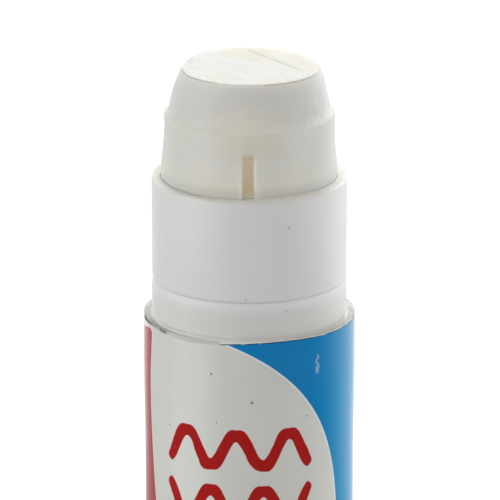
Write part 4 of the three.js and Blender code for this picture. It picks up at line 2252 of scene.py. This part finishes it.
@dataclass
class Studio:
    """A white studio: a pale floor, light from all round that is weaker in front, and soft lamps."""

    lamps: Sequence[SoftLamp]
    floor_radius: float = 2.5
    even: float = 0.245
    behind: float = 0.676
    turned: float = math.radians(15)
    floor_turned: float = math.radians(20)
    floor_front: float = 0.2
    floor_back: float = 0.92
    floor_change: Span = (30.0, 230.0)
    floor_shade: float = 0.42
    floor_glow: float = 0.66

    def floor(self) -> None:
        """Builds the floor, which looks white, keeps the shadow and sends less light back in front."""
        mesh = bmesh.new()
        bmesh.ops.create_circle(mesh, cap_ends=True, segments=96, radius=self.floor_radius)
        data = bpy.data.meshes.new("floor")
        mesh.to_mesh(data)
        mesh.free()
        floor = bpy.data.objects.new("floor", data)
        bpy.context.scene.collection.objects.link(floor)
        material, shader = new_material("studio_floor")
        x, y, _ = shader.split(shader.place())
        back = y * math.cos(self.floor_turned) + x * math.sin(self.floor_turned)
        share = back.rise(*self.floor_change)
        near, far = self.matt(shader, self.floor_front), self.matt(shader, self.floor_back)
        own = self.blend(shader, share, near, far)
        lit = {"Color": (1.0, 1.0, 1.0), "Strength": self.floor_glow}
        glow = shader.node("ShaderNodeEmission", inputs=lit)
        white = shader.node("ShaderNodeAddShader", inputs={0: self.matt(shader, self.floor_shade), 1: glow})
        look = self.blend(shader, self.seen(shader, share), own, white)
        shader.node("ShaderNodeOutputMaterial", inputs={"Surface": look})
        data.materials.append(material)

    def world(self) -> None:
        """Lights the scene from all round, and shows white behind it."""
        world = bpy.data.worlds.new("studio")
        world.use_nodes = True
        bpy.context.scene.world = world
        shader = Shader(world.node_tree)
        x, y, _ = shader.split(shader.node("ShaderNodeTexCoord", output="Generated"))
        back = y * math.cos(self.turned) + x * math.sin(self.turned)
        front, far = self.sky(shader, self.even), self.sky(shader, self.even + self.behind)
        light = self.blend(shader, shader.maths("MAXIMUM", back, 0.0), front, far)
        look = self.blend(shader, self.seen(shader, back.rise(0.0, 0.6)), light, self.sky(shader, 1.0))
        shader.node("ShaderNodeOutputWorld", inputs={"Surface": look})

    @staticmethod
    def matt(shader: Shader, grey: float) -> Wire:
        """A matt surface of this grey."""
        return shader.node("ShaderNodeBsdfDiffuse", inputs={"Color": (grey,) * 3})

    @staticmethod
    def sky(shader: Shader, strength: float) -> Wire:
        """White light of this strength."""
        return shader.node("ShaderNodeBackground", inputs={"Color": (1.0, 1.0, 1.0), "Strength": strength})

    @staticmethod
    def blend(shader: Shader, share: Wire, first: Wire, second: Wire) -> Wire:
        """A surface that goes from first to second as share goes from 0 to 1."""
        return shader.node("ShaderNodeMixShader", inputs={0: share, 1: first, 2: second})

    @staticmethod
    def seen(shader: Shader, share: Wire) -> Wire:
        """Finds the rays that see the studio white: the camera's, those through glass and some mirrored ones.

        Args:
            shader: The shader of the floor or of the world.
            share: The share of the mirrored rays that see it white.

        Returns:
            1 for a ray that sees it white and 0 for another.
        """
        camera = shader.node("ShaderNodeLightPath", output="Is Camera Ray")
        outputs = camera.socket.node.outputs
        mirrored = Wire(shader, outputs["Is Glossy Ray"]) * share
        through = Wire(shader, outputs["Is Transmission Ray"])
        return shader.maths("MAXIMUM", camera, shader.maths("MAXIMUM", through, mirrored))

    def build(self) -> None:
        """Builds the studio."""
        self.floor()
        self.world()
        for lamp in self.lamps:
            lamp.build()
        bpy.context.scene.view_settings.view_transform = "Standard"


@dataclass(frozen=True)
class Viewpoint:
    """The camera at the photograph's angle, in millimetres and degrees."""

    lens: float = 354.5
    sensor: float = 36.0
    distance: float = 609.55
    elevation: float = 17.443
    azimuth: float = 1.2
    target_height: float = 79.984
    sidestep: float = 0.087

    def build(self) -> None:
        """Adds the camera."""
        back = direction(self.azimuth, self.elevation)
        right = direction(self.azimuth + 90, 0)
        lens = bpy.data.cameras.new("camera")
        lens.lens = self.lens
        lens.sensor_width = self.sensor
        camera = bpy.data.objects.new("camera", lens)
        target = Vector((0, 0, self.target_height)) + right * self.sidestep
        camera.location = (target + back * self.distance) * MM
        camera.rotation_euler = (-back).to_track_quat("-Z", "Y").to_euler()
        bpy.context.scene.collection.objects.link(camera)
        bpy.context.scene.camera = camera


def main() -> None:
    """Builds the camera, the pieces and the studio."""
    logging.basicConfig(level=logging.INFO, format="%(name)s: %(message)s")
    Viewpoint().build()
    rim = node_sizes("barrel")[1].z
    label_low, label_high = node_sizes("label_sleeve")
    plastic = MouldedPlastic("moulded_plastic").material()
    inner_plastic = MouldedPlastic("inner_plastic", roughness=0.4, speck_spacing=6.0).material()
    foot = rim - Barrel.neck_length
    neck_plastic = NeckPlastic(name="neck_plastic", rim=rim, foot=foot, radius=Barrel.neck)
    Barrel(neck_plastic.material()).build()
    radius = label_high.x
    film_white = srgb(250, 250, 248)
    Label(
        LabelPrint("printed_film", radius, label_low.z, label_high.z).material(),
        CutEdge("cut_edge", radius, srgb(211, 211, 204), srgb(234, 240, 240), srgb(246, 248, 246)).material(),
        # A painted shadow line just under the cut edge: grey over the white and dark blue over the blue.
        CutEdge("shadow_line", radius, srgb(216, 216, 208), srgb(4, 52, 92), srgb(150, 176, 190)).material(),
        MouldedPlastic("film_back", film_white, roughness=0.3, speck_spacing=9.0, glow=1.0).material(),
    ).build()
    form = GlueForm()
    Glue(WaxyGlue("waxy_glue", form, node_sizes("glue")[1].z, rim).material(), form).build()
    Carrier(inner_plastic).dress()
    Spindle(inner_plastic).build()
    Knob(plastic).build()
    Cap(plastic).build()
    lamps = (
        SoftLamp("left_lamp", -75, 12, 4.56),
        SoftLamp("left_front_lamp", -50, 12, 2.52),
        SoftLamp("right_front_lamp", 40, 30, 1.74),
        SoftLamp("right_lamp", 75, 12, 3.53),
        SoftLamp("right_back_lamp", 135, 12, 2.65),
        SoftLamp("top_lamp", 180, 55, 4.85),
    )
    Studio(lamps).build()


if __name__ == "__main__":
    main()
